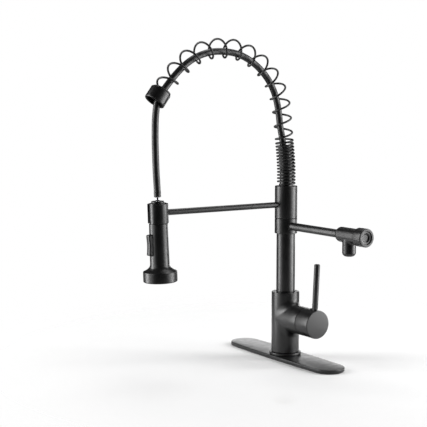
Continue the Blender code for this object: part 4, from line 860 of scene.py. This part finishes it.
CAP_WALL = 2.2 * MM
CAP_END_WALL = 3.4 * MM
LEVER_RADIUS = 4.5 * MM
LEVER_LEAN = radians(3.6)
LEVER_FROM_PIVOT = 11.3 * MM
LEVER_INSIDE = 0.9 * MM
GRUB_RADIUS = 2.35 * MM
GRUB_FROM_PIVOT = 3.0 * MM
GRUB_LENGTH = 3.2 * MM
KEY_RADIUS = 0.9 * MM
KEY_DEPTH = 1.4 * MM
LEVER_NOTCH = 0.9 * MM
NOTCH_HEIGHT = 1.1 * MM
LEVER_TOP_EDGE = 1.4 * MM
CAP_EDGE = 1.3 * MM


def make_handle():
    front = extent("handle_cap", "x")[1] - PIVOT.x
    inner = CAP_RADIUS - CAP_WALL
    corners = [
        (0.0, front),
        (CAP_RADIUS - TUCK, front, CAP_EDGE),
        (CAP_RADIUS - TUCK, -CAP_BEHIND_PIVOT, EDGE),
        (inner, -CAP_BEHIND_PIVOT, 0.4 * MM),
        (inner, front - CAP_END_WALL, 1.0 * MM),
        (0.0, front - CAP_END_WALL),
    ]
    cap = lathe("handle_knuckle", corners, BLACK, along_x(PIVOT.x, 0, PIVOT.z), steps=6)
    settle(cap, "handle", "matte_black", "handle_cap")

    root = inner - LEVER_INSIDE
    lean = Matrix.Rotation(LEVER_LEAN, 4, "Y")
    placed = upright(PIVOT.x + LEVER_FROM_PIVOT, 0, PIVOT.z + root) @ lean
    top = (extent("handle_lever", "z")[1] - PIVOT.z - root) / cos(LEVER_LEAN) - GAP
    surface = CAP_RADIUS - root
    corners = [
        (0.0, top),
        (LEVER_RADIUS, top, LEVER_TOP_EDGE),
        (LEVER_RADIUS, surface + NOTCH_HEIGHT + FINE_EDGE, SLIGHT_EDGE),
        (LEVER_RADIUS - LEVER_NOTCH, surface + NOTCH_HEIGHT, HAIR_EDGE),
        (LEVER_RADIUS - LEVER_NOTCH, 0.0),
        (0.0, 0.0),
    ]
    lever = lathe("handle_rod", corners, BLACK, placed, steps=6)
    settle(lever, "handle", "matte_black", "handle_lever")

    top = extent("handle_grub_screw", "z")[1]
    corners = [
        (0.0, top - KEY_DEPTH),
        (KEY_RADIUS, top - KEY_DEPTH),
        (KEY_RADIUS, top, HAIR_EDGE),
        (GRUB_RADIUS, top, 0.4 * MM),
        (GRUB_RADIUS, top - GRUB_LENGTH),
        (0.0, top - GRUB_LENGTH),
    ]
    placed = upright(PIVOT.x + GRUB_FROM_PIVOT)
    grub = lathe("handle_set_screw", corners, RUBBER, placed)
    settle(grub, "handle", "matte_black", "handle_grub_screw")


make_handle()

# Column, sleeve rings and arms

COLUMN_WALL = 2.2 * MM
JOURNAL_RADIUS = 11.2 * MM
SPIGOT_RADIUS = 10.45 * MM
SPIGOT_BORE = 9.0 * MM
SLEEVE_RADIUS = half_width("dock_ring")
SLEEVE_EDGE = 0.8 * MM
PIPE_HEIGHT = JOINTS["knob_turn"]["pos_m"][2]
ARM_INSIDE = 3 * MM
ARM_FLARE = 1.2 * MM
PIPE_FLARE = 1.8 * MM


def make_column():
    bottom, top = extent("column_tube", "z")
    shoulder = extent("pot_filler_ring", "z")[0] - GAP
    corners = [
        (SPIGOT_RADIUS, top, EDGE),
        (SPIGOT_RADIUS, SLEEVE_TOP - 2 * MM),
        (JOURNAL_RADIUS, SLEEVE_TOP - 2 * MM, EDGE),
        (JOURNAL_RADIUS, shoulder),
        (COLUMN_RADIUS, shoulder, EDGE),
        (COLUMN_RADIUS, bottom, EDGE),
        (COLUMN_RADIUS - COLUMN_WALL, bottom, EDGE),
        (COLUMN_RADIUS - COLUMN_WALL, shoulder - 2 * COLUMN_WALL),
        (SPIGOT_BORE, shoulder - 2 * COLUMN_WALL),
        (SPIGOT_BORE, top, EDGE),
    ]
    settle(lathe("column", corners, BLACK), "spout", "matte_black", "column_tube")


def make_sleeve_ring(name, node, body, inner):
    bottom, top = extent(node, "z")
    corners = ring(SLEEVE_RADIUS - TUCK, inner, top, bottom, SLEEVE_EDGE)
    settle(lathe(name, corners, BLACK), body, "matte_black", node)


def flared_rod(radius, root, tip, flare, edge=EDGE):
    """A rod from a root inside a sleeve to a tip, with a small concave root like a brazed joint."""
    points = [(0.0, tip), (radius, tip, edge)]
    surface = sqrt(SLEEVE_RADIUS**2 - radius**2) - 0.1 * MM
    centre = (radius + flare, surface + flare)
    for i in range(9):
        angle = pi + pi / 2 * i / 8
        points.append((centre[0] + flare * cos(angle), centre[1] + flare * sin(angle)))
    points += [(radius + flare, root), (0.0, root)]
    return points


def make_arms():
    make_sleeve_ring("pot_filler_sleeve", "pot_filler_ring", "pot_filler", JOURNAL_RADIUS + GAP)
    make_sleeve_ring("dock_sleeve", "dock_ring", "dock", JOURNAL_RADIUS + GAP)
    inside = SLEEVE_RADIUS - ARM_INSIDE
    arm_radius = half_width("dock_arm")
    tip = -extent("dock_arm", "y")[0]
    placed = Matrix.Translation((0, 0, DOCK_HEIGHT)) @ Matrix.Rotation(pi / 2, 4, "X")
    corners = flared_rod(arm_radius, inside, tip, ARM_FLARE)
    arm = lathe("dock_rod", corners, BLACK, placed)
    settle(arm, "dock", "matte_black", "dock_arm")
    pipe_radius = half_width("pot_filler_pipe", "y")
    tip = extent("pot_filler_pipe", "x")[1]
    corners = flared_rod(pipe_radius, inside, tip, PIPE_FLARE)
    pipe = lathe("pot_filler_tube", corners, BLACK, along_x(z=PIPE_HEIGHT))
    settle(pipe, "pot_filler", "matte_black", "pot_filler_pipe")


make_column()
make_arms()

# Pot filler valve and knob

VALVE_START, VALVE_END = extent("pot_valve_body", "x")
VALVE_RADIUS = half_width("pot_valve_body", "y")
VALVE_SHOULDER = 4.5 * MM
VALVE_STEP = 0.55 * MM
NOZZLE_X = (extent("pot_aerator", "x")[0] + extent("pot_aerator", "x")[1]) / 2
NOZZLE_RADIUS = 10.1 * MM
NOZZLE_ROUNDING = 6.1 * MM
NOZZLE_BOTTOM = extent("pot_valve_body", "z")[0]
NOZZLE_BORE = 3.9 * MM
NOZZLE_FILLET = 3.0 * MM
NOZZLE_RISE = 2 * MM  # how far the nozzle runs up past the pipe
OUTLET_DEPTH = 8 * MM
KNOB_DISH_DEPTH = 3.6 * MM
KNOB_STEP_DEPTH = 1.9 * MM
KNOB_SOCKET = 4.0 * MM
KNOB_SOCKET_DEPTH = 2 * MM


def rounded_end(along, across, low, high, radius, start_edge, end_edge):
    """A cylinder whose two ends have their own roundings."""
    middle = (low + high) / 2
    first = capped_cylinder(along, across, low, high + 2 * end_edge, radius, start_edge)
    last = capped_cylinder(along, across, low - 2 * start_edge, high, radius, end_edge)
    return np.where(along < middle, first, last)


def valve_field(x, y, z):
    rise = z - PIPE_HEIGHT
    from_hub = np.hypot(y, rise)
    radius = VALVE_RADIUS - TUCK
    hub = rounded_end(x, from_hub, VALVE_START, VALVE_END, radius, VALVE_SHOULDER, EDGE)
    from_nozzle = np.hypot(x - NOZZLE_X, y)
    low, high = NOZZLE_BOTTOM + TUCK, PIPE_HEIGHT + NOZZLE_RISE
    spout = rounded_end(z, from_nozzle, low, high, NOZZLE_RADIUS, NOZZLE_ROUNDING, NOZZLE_RISE)
    facing = y * y / np.maximum(from_hub * from_nozzle, 1e-9)
    whole = filleted_union(hub, spout, NOZZLE_FILLET * np.clip(1 - facing**2, 0.03, 1))
    outlet = np.maximum(from_nozzle - NOZZLE_BORE, z - NOZZLE_BOTTOM - OUTLET_DEPTH)
    return np.maximum(whole, -outlet)


def make_valve():
    low = (VALVE_START, -VALVE_RADIUS, NOZZLE_BOTTOM)
    high = (VALVE_END, VALVE_RADIUS, PIPE_HEIGHT + VALVE_RADIUS)
    valve = casting("pot_filler_valve", valve_field, low, high, VALVE_STEP, BLACK)
    settle(valve, "pot_filler", "matte_black", "pot_valve_body")
    bottom, top = extent("pot_aerator", "z")
    screen = [(0.0, bottom)]
    for k in range(1, 4):
        screen.append((k * MM, bottom + 0.25 * MM * (k % 2), HAIR_EDGE))
    radius = NOZZLE_BORE - 0.15 * MM
    screen += [(radius, bottom, FINE_EDGE), (radius, top), (0.0, top)]
    screen.reverse()
    placed = upright(NOZZLE_X)
    aerator = lathe("pot_filler_aerator", screen, BLACK_PLASTIC, placed)
    settle(aerator, "pot_filler", "black_plastic", "pot_aerator")


def make_knob():
    start, front = extent("pot_filler_knob", "x")
    radius = half_width("pot_filler_knob", "y") - TUCK
    corners = [
        (0.0, front - KNOB_DISH_DEPTH),
        (5.0 * MM, front - KNOB_DISH_DEPTH, 1.0 * MM),
        (6.8 * MM, front - KNOB_STEP_DEPTH, 0.8 * MM),
        (9.2 * MM, front - KNOB_STEP_DEPTH + FINE_EDGE, 0.4 * MM),
        (9.8 * MM, front, 0.4 * MM),
        (radius, front, 1.4 * MM),
        (radius, start, 0.9 * MM),
        (KNOB_SOCKET, start),
        (KNOB_SOCKET, start + KNOB_SOCKET_DEPTH),
        (0.0, start + KNOB_SOCKET_DEPTH),
    ]
    knob = lathe("pot_filler_turn_knob", corners, BLACK, along_x(z=PIPE_HEIGHT), steps=6)
    settle(knob, "pot_knob", "matte_black", "pot_filler_knob")


make_valve()
make_knob()

# Dock clip and collar

NECK_RADIUS = 12.8 * MM
CLIP_WALL = 2.2 * MM
CLIP_INNER = NECK_RADIUS + 0.45 * MM
CLIP_ABOVE = 13.6 * MM
CLIP_BELOW = 15.0 * MM
CLIP_HALF_OPENING = radians(27)
CLIP_ROUNDING = 0.6 * MM
CLIP_STEPS = 120
COLLAR_INNER = 15.0 * MM
COLLAR_WALL = 1.0 * MM
COLLAR_LENGTH = 19.0 * MM
COLLAR_EDGE = 0.45 * MM
COLLAR_MOUTH = COIL_RADIUS - 0.6 * MM


def make_clip():
    """A C-shaped clip: one rounded wall section swept round the sprayer's neck."""
    middle_radius = CLIP_INNER + CLIP_WALL / 2
    height = CLIP_ABOVE + CLIP_BELOW
    middle = (CLIP_ABOVE - CLIP_BELOW) / 2
    rounding = CLIP_ROUNDING
    sweep = 2 * (pi - CLIP_HALF_OPENING)
    first = -pi / 2 + CLIP_HALF_OPENING
    ends = [0.0, 0.12, 0.35, 0.65, 1.0]
    inset = rounding / middle_radius
    marks = [(inset * t, sqrt(1 - (1 - t) ** 2)) for t in ends]
    turns = marks + [(inset + (sweep - 2 * inset) * i / CLIP_STEPS, 1.0) for i in range(1, CLIP_STEPS)]
    turns += [(sweep - a, s) for a, s in reversed(marks)]
    sections = []
    for turn, share in turns:
        angle = first + turn
        wall = CLIP_WALL - 2 * rounding * (1 - share)
        tall = height - 2 * rounding * (1 - share)
        outline = rounded_box_outline(wall, tall, min(rounding, wall / 2.1) * max(share, 0.3))
        section = []
        for u, v in outline:
            radius = middle_radius + u
            section.append((radius * cos(angle), radius * sin(angle), middle + v))
        sections.append(section)
    clip = lofted("dock_cradle", sections, BLACK, DOCK)
    settle(clip, "dock", "matte_black", "dock_clip")


def make_collar():
    point, ahead, _ = ARCH[-1]
    placed = Matrix.Translation(point) @ (-ahead).to_track_quat("Z", "Y").to_matrix().to_4x4()
    outer = COLLAR_INNER + COLLAR_WALL
    corners = [
        (outer, COLLAR_LENGTH, COLLAR_EDGE),
        (outer, 0.0, 1.6 * MM),
        (COLLAR_MOUTH, 0.0, EDGE),
        (COLLAR_MOUTH, COLLAR_END_WALL),
        (COLLAR_INNER, COLLAR_END_WALL),
        (COLLAR_INNER, COLLAR_LENGTH, COLLAR_EDGE),
    ]
    collar = lathe("spring_end_collar", corners, BLACK, placed, steps=6)
    settle(collar, "dock", "matte_black", "spring_collar")


make_clip()
make_collar()

# Sprayer

SHOULDER = 15.4 * MM
GRIP_TOP_RADIUS = 13.9 * MM
GRIP_LOW_RADIUS = 14.4 * MM
GRIP_LOW = 75.0 * MM
RIM_TOP = 86.5 * MM
RIM_BOTTOM = 101.7 * MM
RIM_RADIUS = 25.3 * MM
FLARE_STEPS = 29
SPRAYER_WALL = 1.8 * MM
FACE_MARGIN = 2.0 * MM
FACE_CLEAR = 0.15 * MM
FACE_RECESS = 1.6 * MM
FACE_THICK = 3.0 * MM
OUTLET_RADIUS = 8.0 * MM
OUTLET_LIP = 0.8 * MM
OUTLET_LENGTH = 9 * MM
TIP_LENGTH = 1.2 * MM
TIP_RINGS = ((11.2 * MM, 14), (14.8 * MM, 20), (18.4 * MM, 26), (21.2 * MM, 32))
ROCKER_TOP = -31.0 * MM
ROCKER_HEIGHT = 31.0 * MM
ROCKER_WIDTH = 9.0 * MM
ROCKER_FACE = 19.6 * MM
ROCKER_BACK = 9.2 * MM
ROCKER_DIP = 0.9 * MM
ROCKER_EDGE = 1.6 * MM
ROCKER_STEPS = 20


def make_sprayer_shell():
    flare = []
    for i in range(FLARE_STEPS):
        t = i / FLARE_STEPS
        radius = GRIP_LOW_RADIUS + (RIM_RADIUS - 0.5 * MM - GRIP_LOW_RADIUS) * t**2.2
        flare.append((radius, -GRIP_LOW - (RIM_TOP - GRIP_LOW) * t**0.9))
    face_radius = RIM_RADIUS - FACE_MARGIN
    inner = GRIP_TOP_RADIUS - SPRAYER_WALL
    corners = [
        (NECK_RADIUS, NECK_TOP, 0.7 * MM),
        (NECK_RADIUS, -SHOULDER, 0.15 * MM),
        (GRIP_TOP_RADIUS, -SHOULDER - 0.3 * MM, 0.5 * MM),
        *flare,
        (RIM_RADIUS - 0.3 * MM, -RIM_TOP, 0.2 * MM),
        (RIM_RADIUS - TUCK, -RIM_TOP - 0.8 * MM, 0.5 * MM),
        (RIM_RADIUS - TUCK, -RIM_BOTTOM, 1.4 * MM),
        (face_radius + FACE_CLEAR, -RIM_BOTTOM, SLIGHT_EDGE),
        (face_radius + FACE_CLEAR, -RIM_BOTTOM + FACE_RECESS + FACE_THICK),
        (face_radius - 2 * MM, -RIM_TOP - 3 * MM),
        (inner, -GRIP_LOW - 2 * MM),
        (inner, -SHOULDER - 2 * MM),
        (NECK_RADIUS - SPRAYER_WALL, -SHOULDER),
        (NECK_RADIUS - SPRAYER_WALL, NECK_TOP, 0.3 * MM),
    ]
    shell = lathe("sprayer_housing", corners, BLACK, DOCK)
    outline = rounded_box_outline(ROCKER_WIDTH + MM, ROCKER_HEIGHT + ROCKER_EDGE, ROCKER_EDGE)
    middle = ROCKER_TOP - ROCKER_HEIGHT / 2
    sections = [[(x, -depth, middle + z) for x, z in outline] for depth in (RIM_RADIUS, ROCKER_BACK)]
    carved(shell, lofted("rocker_slot", sections, BLACK, DOCK))
    settle(shell, "sprayer", "matte_black", "sprayer_shell")


def make_rocker():
    """The two-way button: a rounded block with a dipped middle."""
    middle = ROCKER_TOP - ROCKER_HEIGHT / 2
    sections = []
    for i in range(2 * ROCKER_STEPS + 1):
        t = i / ROCKER_STEPS - 1
        end = min(1.0, (1 - abs(t)) * ROCKER_HEIGHT / 2 / ROCKER_EDGE)
        share = sqrt(max(0.0, 1 - (1 - end) ** 2))
        face = ROCKER_FACE - TUCK - ROCKER_DIP * (1 - t * t) ** 2 - ROCKER_EDGE * (1 - share)
        width = ROCKER_WIDTH - ROCKER_EDGE * (1 - share)
        depth = face - ROCKER_BACK
        outline = rounded_box_outline(width, depth, 1.5 * MM)
        centre = -(face + ROCKER_BACK) / 2
        sections.append([(x, centre + y, middle + t * ROCKER_HEIGHT / 2) for x, y in outline])
    rocker = lofted("spray_mode_rocker", sections, BLACK, DOCK)
    settle(rocker, "rocker", "matte_black", "spray_rocker")


def make_spray_face():
    """The flexible nozzle plate with its rings of small spray tips round the stream outlet."""
    face_radius = RIM_RADIUS - FACE_MARGIN
    low = -RIM_BOTTOM + FACE_RECESS
    corners = ring(face_radius, OUTLET_RADIUS + GAP, low + FACE_THICK, low, 0.6 * MM)
    plate = lathe("spray_face_plate", corners, NOZZLE_RUBBER, DOCK)
    settle(plate, "sprayer", "rubber", "spray_face")
    tip = [(0.0, 0.0), (1.15 * MM, 0.0), (0.8 * MM, -TIP_LENGTH, 0.3 * MM), (0.3 * MM, -TIP_LENGTH)]
    tip = softened(tip, steps=3)
    tip.append(Vector((0.0, -TIP_LENGTH / 2)))
    around = 12
    points = []
    faces = []
    for radius, count in TIP_RINGS:
        for n in range(count):
            angle = 2 * pi * (n + 0.5 * (count % 4)) / count
            centre = Vector((radius * cos(angle), radius * sin(angle), low + 0.05 * MM))
            rings = []
            for r, z in tip:
                single = r < AXIS
                size = 1 if single else around
                rings.append(list(range(len(points), len(points) + size)))
                for k in range(size):
                    turn = 2 * pi * k / around
                    points.append(centre + Vector((r * cos(turn), r * sin(turn), z)))
            faces += ring_faces(rings, False)
    tips = add_mesh("spray_tips", points, faces, NOZZLE_RUBBER, DOCK)
    settle(tips, "sprayer", "rubber")
    rings = [(0.0, low + OUTLET_LIP)]
    for k in range(1, 7):
        ridge = 0.0 if k % 2 else EDGE
        rings.append((k * MM, low + OUTLET_LIP + ridge, FINE_EDGE))
    rings += [
        (OUTLET_RADIUS - OUTLET_LIP, low + GAP, SLIGHT_EDGE),
        (OUTLET_RADIUS, low + GAP, SLIGHT_EDGE),
        (OUTLET_RADIUS, low + OUTLET_LENGTH, EDGE),
        (0.0, low + OUTLET_LENGTH),
    ]
    outlet = lathe("stream_outlet", rings[::-1], BLACK_PLASTIC, DOCK)
    settle(outlet, "sprayer", "black_plastic", "spray_aerator")


def make_hose_end():
    cap_low = NECK_TOP + GAP
    hole = STUD_RADIUS + GAP
    corners = [
        (TOP_CAP_RADIUS, cap_low + TOP_CAP_HEIGHT - GAP, EDGE),
        (TOP_CAP_RADIUS, cap_low, FINE_EDGE),
        (hole, cap_low),
        (hole, cap_low + TOP_CAP_HEIGHT - 2 * MM),
        (STUD_BALL_RADIUS + GAP, cap_low + TOP_CAP_HEIGHT - GAP, FINE_EDGE),
    ]
    cap = lathe("sprayer_top_disc", corners, BLACK, DOCK)
    settle(cap, "sprayer", "matte_black", "sprayer_top_cap")
    neck = asin(STUD_NECK)
    stud = [(0.0, FERRULE_BOTTOM), (STUD_RADIUS, FERRULE_BOTTOM)]
    for i in range(STUD_STEPS + 1):
        angle = neck - 2 * neck * i / STUD_STEPS
        stud.append((STUD_BALL_RADIUS * cos(angle), BALL_HEIGHT + STUD_BALL_RADIUS * sin(angle)))
    stud += [(STUD_RADIUS, NECK_TOP - STUD_ROOT), (0.0, NECK_TOP - STUD_ROOT)]
    ball = lathe("hose_ball_joint", stud, STEEL, DOCK)
    settle(ball, "hose_end", "stainless", "hose_ball_stud")
    radius = HOSE_RADIUS + 0.15 * MM
    ferrule = [
        (0.0, FERRULE_TOP),
        (radius, FERRULE_TOP, FINE_EDGE),
        (radius, FERRULE_TOP - CRIMP_FROM_TOP + SLIGHT_EDGE, HAIR_EDGE),
        (radius - FINE_EDGE, FERRULE_TOP - CRIMP_FROM_TOP, HAIR_EDGE),
        (radius, FERRULE_TOP - CRIMP_FROM_TOP - SLIGHT_EDGE, HAIR_EDGE),
        (radius, FERRULE_BOTTOM, 0.8 * MM),
        (0.0, FERRULE_BOTTOM),
    ]
    crimp = lathe("hose_crimp", ferrule, HOSE_BLACK, DOCK)
    settle(crimp, "hose_end", "black_hose", "hose_ferrule")


make_sprayer_shell()
make_rocker()
make_spray_face()
make_hose_end()

# Below the worktop

SHANK_WALL = 2.6 * MM
THREAD_PITCH = 1.5 * MM
THREAD_DEPTH = 0.7 * MM
NUT_CHAMFER = 1.6 * MM
INLET_BORE = 2.6 * MM
INLET_STEP = 0.6 * MM
INLET_THREAD = 1.0 * MM


def make_shank():
    bottom, top = extent("mounting_shank", "z")
    radius = half_width("mounting_shank")
    thread_top = extent("counter_washer", "z")[1]
    corners = [(radius, top, EDGE), (radius, thread_top)]
    z = thread_top
    while z > bottom + 2 * THREAD_PITCH:
        corners.append((radius - THREAD_DEPTH, z - THREAD_PITCH / 2, 0.15 * MM))
        corners.append((radius, z - THREAD_PITCH, 0.15 * MM))
        z -= THREAD_PITCH
    inner = radius - SHANK_WALL
    corners += [(radius - THREAD_DEPTH, bottom, EDGE), (inner, bottom, EDGE), (inner, top, EDGE)]
    shank = lathe("threaded_shank", corners, BRASS, steps=2)
    settle(shank, "fixed_base", "brass", "mounting_shank")


def make_clamp():
    inner = half_width("mounting_shank") + GAP
    for node, name, material, slot, edge in (
        ("counter_washer", "rubber_counter_washer", RUBBER, "rubber", 0.8 * MM),
        ("clamp_washer", "steel_clamp_washer", STEEL, "stainless", 0.4 * MM),
    ):
        bottom, top = extent(node, "z")
        corners = ring(half_width(node, "y"), inner, top, bottom, edge)
        settle(lathe(name, corners, material), "fixed_base", slot, node)
    bottom, top = extent("mounting_nut", "z")
    corner = half_width("mounting_nut")
    flat = corner * cos(pi / 6)
    hexagon = []
    for x, y, _ in circle(1.0, 0.0):
        radius = flat / cos((atan2(y, x) + pi / 6) % (pi / 3) - pi / 6)
        hexagon.append((radius * x, radius * y))
    sections = [circle(flat, bottom)]
    sections += [[(x, y, z) for x, y in hexagon] for z in (bottom + NUT_CHAMFER, top - NUT_CHAMFER)]
    sections += [circle(flat, top), circle(inner, top), circle(inner, bottom)]
    points, rings = stacked(sections)
    nut = add_mesh("hexagon_nut", points, ring_faces(rings, True), BRASS, crease=radians(20))
    settle(nut, "fixed_base", "brass", "mounting_nut")


def make_inlets():
    for node, name in (("cold_inlet", "cold_inlet_nipple"), ("hot_inlet", "hot_inlet_nipple")):
        (x0, y0, bottom), (x1, y1, top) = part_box(node)
        radius = (x1 - x0) / 2
        neck = radius - INLET_STEP
        root = radius - INLET_THREAD / 2
        corners = [(neck, top, FINE_EDGE), (neck, bottom + 14 * MM), (radius, bottom + 13 * MM)]
        z = bottom + 10 * MM
        while z > bottom + 1.5 * MM:
            corners.append((radius, z, HAIR_EDGE))
            corners.append((root, z - INLET_THREAD / 2, HAIR_EDGE))
            z -= INLET_THREAD
        corners += [(root, bottom, SLIGHT_EDGE), (INLET_BORE, bottom, SLIGHT_EDGE)]
        corners.append((INLET_BORE, top, FINE_EDGE))
        placed = upright((x0 + x1) / 2, (y0 + y1) / 2)
        inlet = lathe(name, corners, BRASS, placed, steps=2)
        settle(inlet, "fixed_base", "brass", node)


make_shank()
make_clamp()
make_inlets()

# Carried-over CAD pieces


def dress_cad_nodes():
    slots = {part["node"]: part["material_slot"] for part in frame["record"]["subparts"]}
    for name, node in frame["nodes"].items():
        node.data.materials.clear()
        node.data.materials.append(CAD_MATERIALS[slots[name]])


dress_cad_nodes()

# Studio

FLOOR_SIZE = 1.6
FLOOR_FADE = (0.2, 0.6)
FLOOR_GREY = (0.93, 0.93, 0.93, 1)
FLOOR_DROP = 0.05 * MM
WHITE = (1, 1, 1, 1)
GLOW = 0.03
FORWARD = Vector((-sin(radians(CAMERA_AZIMUTH)), cos(radians(CAMERA_AZIMUTH)), 0))
RIGHT = Vector((cos(radians(CAMERA_AZIMUTH)), sin(radians(CAMERA_AZIMUTH)), 0))
LIGHT_AIM = Vector((0, -0.08, 0.24))


def make_floor():
    """A pale floor that fades out a little way from the object."""
    z = extent("deck_gasket", "z")[0] - FLOOR_DROP
    count = 64
    points = [(0, 0, z)] + circle(FLOOR_SIZE, z, count)
    faces = [(0, k + 1, (k + 1) % count + 1) for k in range(count)]
    material = bpy.data.materials.new("studio_floor")
    material.use_nodes = True
    tree = material.node_tree
    shader = tree.nodes["Principled BSDF"]
    shader.inputs["Base Color"].default_value = FLOOR_GREY
    shader.inputs["Roughness"].default_value = 0.9
    place = add_node(tree, "TexCoord")
    length = add_node(tree, "VectorMath")
    length.operation = "LENGTH"
    fade = add_node(tree, "MapRange", From_Min=FLOOR_FADE[0], From_Max=FLOOR_FADE[1])
    fade.interpolation_type = "SMOOTHSTEP"
    clear = add_node(tree, "BsdfTransparent")
    mix = add_node(tree, "MixShader")
    tree.links.new(place.outputs["Object"], length.inputs[0])
    tree.links.new(length.outputs["Value"], fade.inputs["Value"])
    tree.links.new(fade.outputs["Result"], mix.inputs["Fac"])
    tree.links.new(shader.outputs["BSDF"], mix.inputs[1])
    tree.links.new(clear.outputs["BSDF"], mix.inputs[2])
    tree.links.new(mix.outputs["Shader"], tree.nodes["Material Output"].inputs["Surface"])
    floor = add_mesh("floor", points, faces, material)


def make_light(name, turn, distance, height, size, energy):
    """A soft box at an angle from straight behind the object, positive to the camera's right."""
    angle = radians(turn)
    place = LIGHT_AIM + distance * (FORWARD * cos(angle) + RIGHT * sin(angle)) + Vector((0, 0, height))
    light = bpy.data.lights.new(name, "AREA")
    light.shape = "RECTANGLE"
    light.size, light.size_y = size
    light.energy = energy
    obj = bpy.data.objects.new(name, light)
    obj.location = place
    obj.rotation_euler = (LIGHT_AIM - place).to_track_quat("-Z", "Y").to_euler()
    obj.visible_camera = False
    bpy.context.scene.collection.objects.link(obj)


def make_world():
    """White behind the object for the camera, and a dim even glow for everything else."""
    world = bpy.data.worlds.new("studio")
    world.use_nodes = True
    tree = world.node_tree
    glow = tree.nodes["Background"]
    glow.inputs["Color"].default_value = WHITE
    glow.inputs["Strength"].default_value = GLOW
    backdrop = add_node(tree, "Background", Color=WHITE, Strength=1.0)
    path = add_node(tree, "LightPath")
    mix = add_node(tree, "MixShader")
    tree.links.new(path.outputs["Is Camera Ray"], mix.inputs["Fac"])
    tree.links.new(glow.outputs["Background"], mix.inputs[1])
    tree.links.new(backdrop.outputs["Background"], mix.inputs[2])
    tree.links.new(mix.outputs["Shader"], tree.nodes["World Output"].inputs["Surface"])
    bpy.context.scene.world = world
    bpy.context.scene.view_settings.view_transform = "Standard"


make_floor()
make_light("left_softbox", -88, 1.5, 0.15, (0.6, 1.9), 34)
make_light("left_fill", -114, 1.6, 0.15, (0.9, 1.6), 9)
make_light("right_softbox", 88, 1.5, 0.15, (0.6, 1.9), 32)
make_light("right_fill", 109, 1.7, 0.1, (0.9, 1.6), 17)
make_light("back_softbox", 16, 1.2, -0.05, (1.1, 0.3), 3)
make_light("top_softbox", 20, 0.6, 1.5, (1.2, 1.2), 12)
make_world()
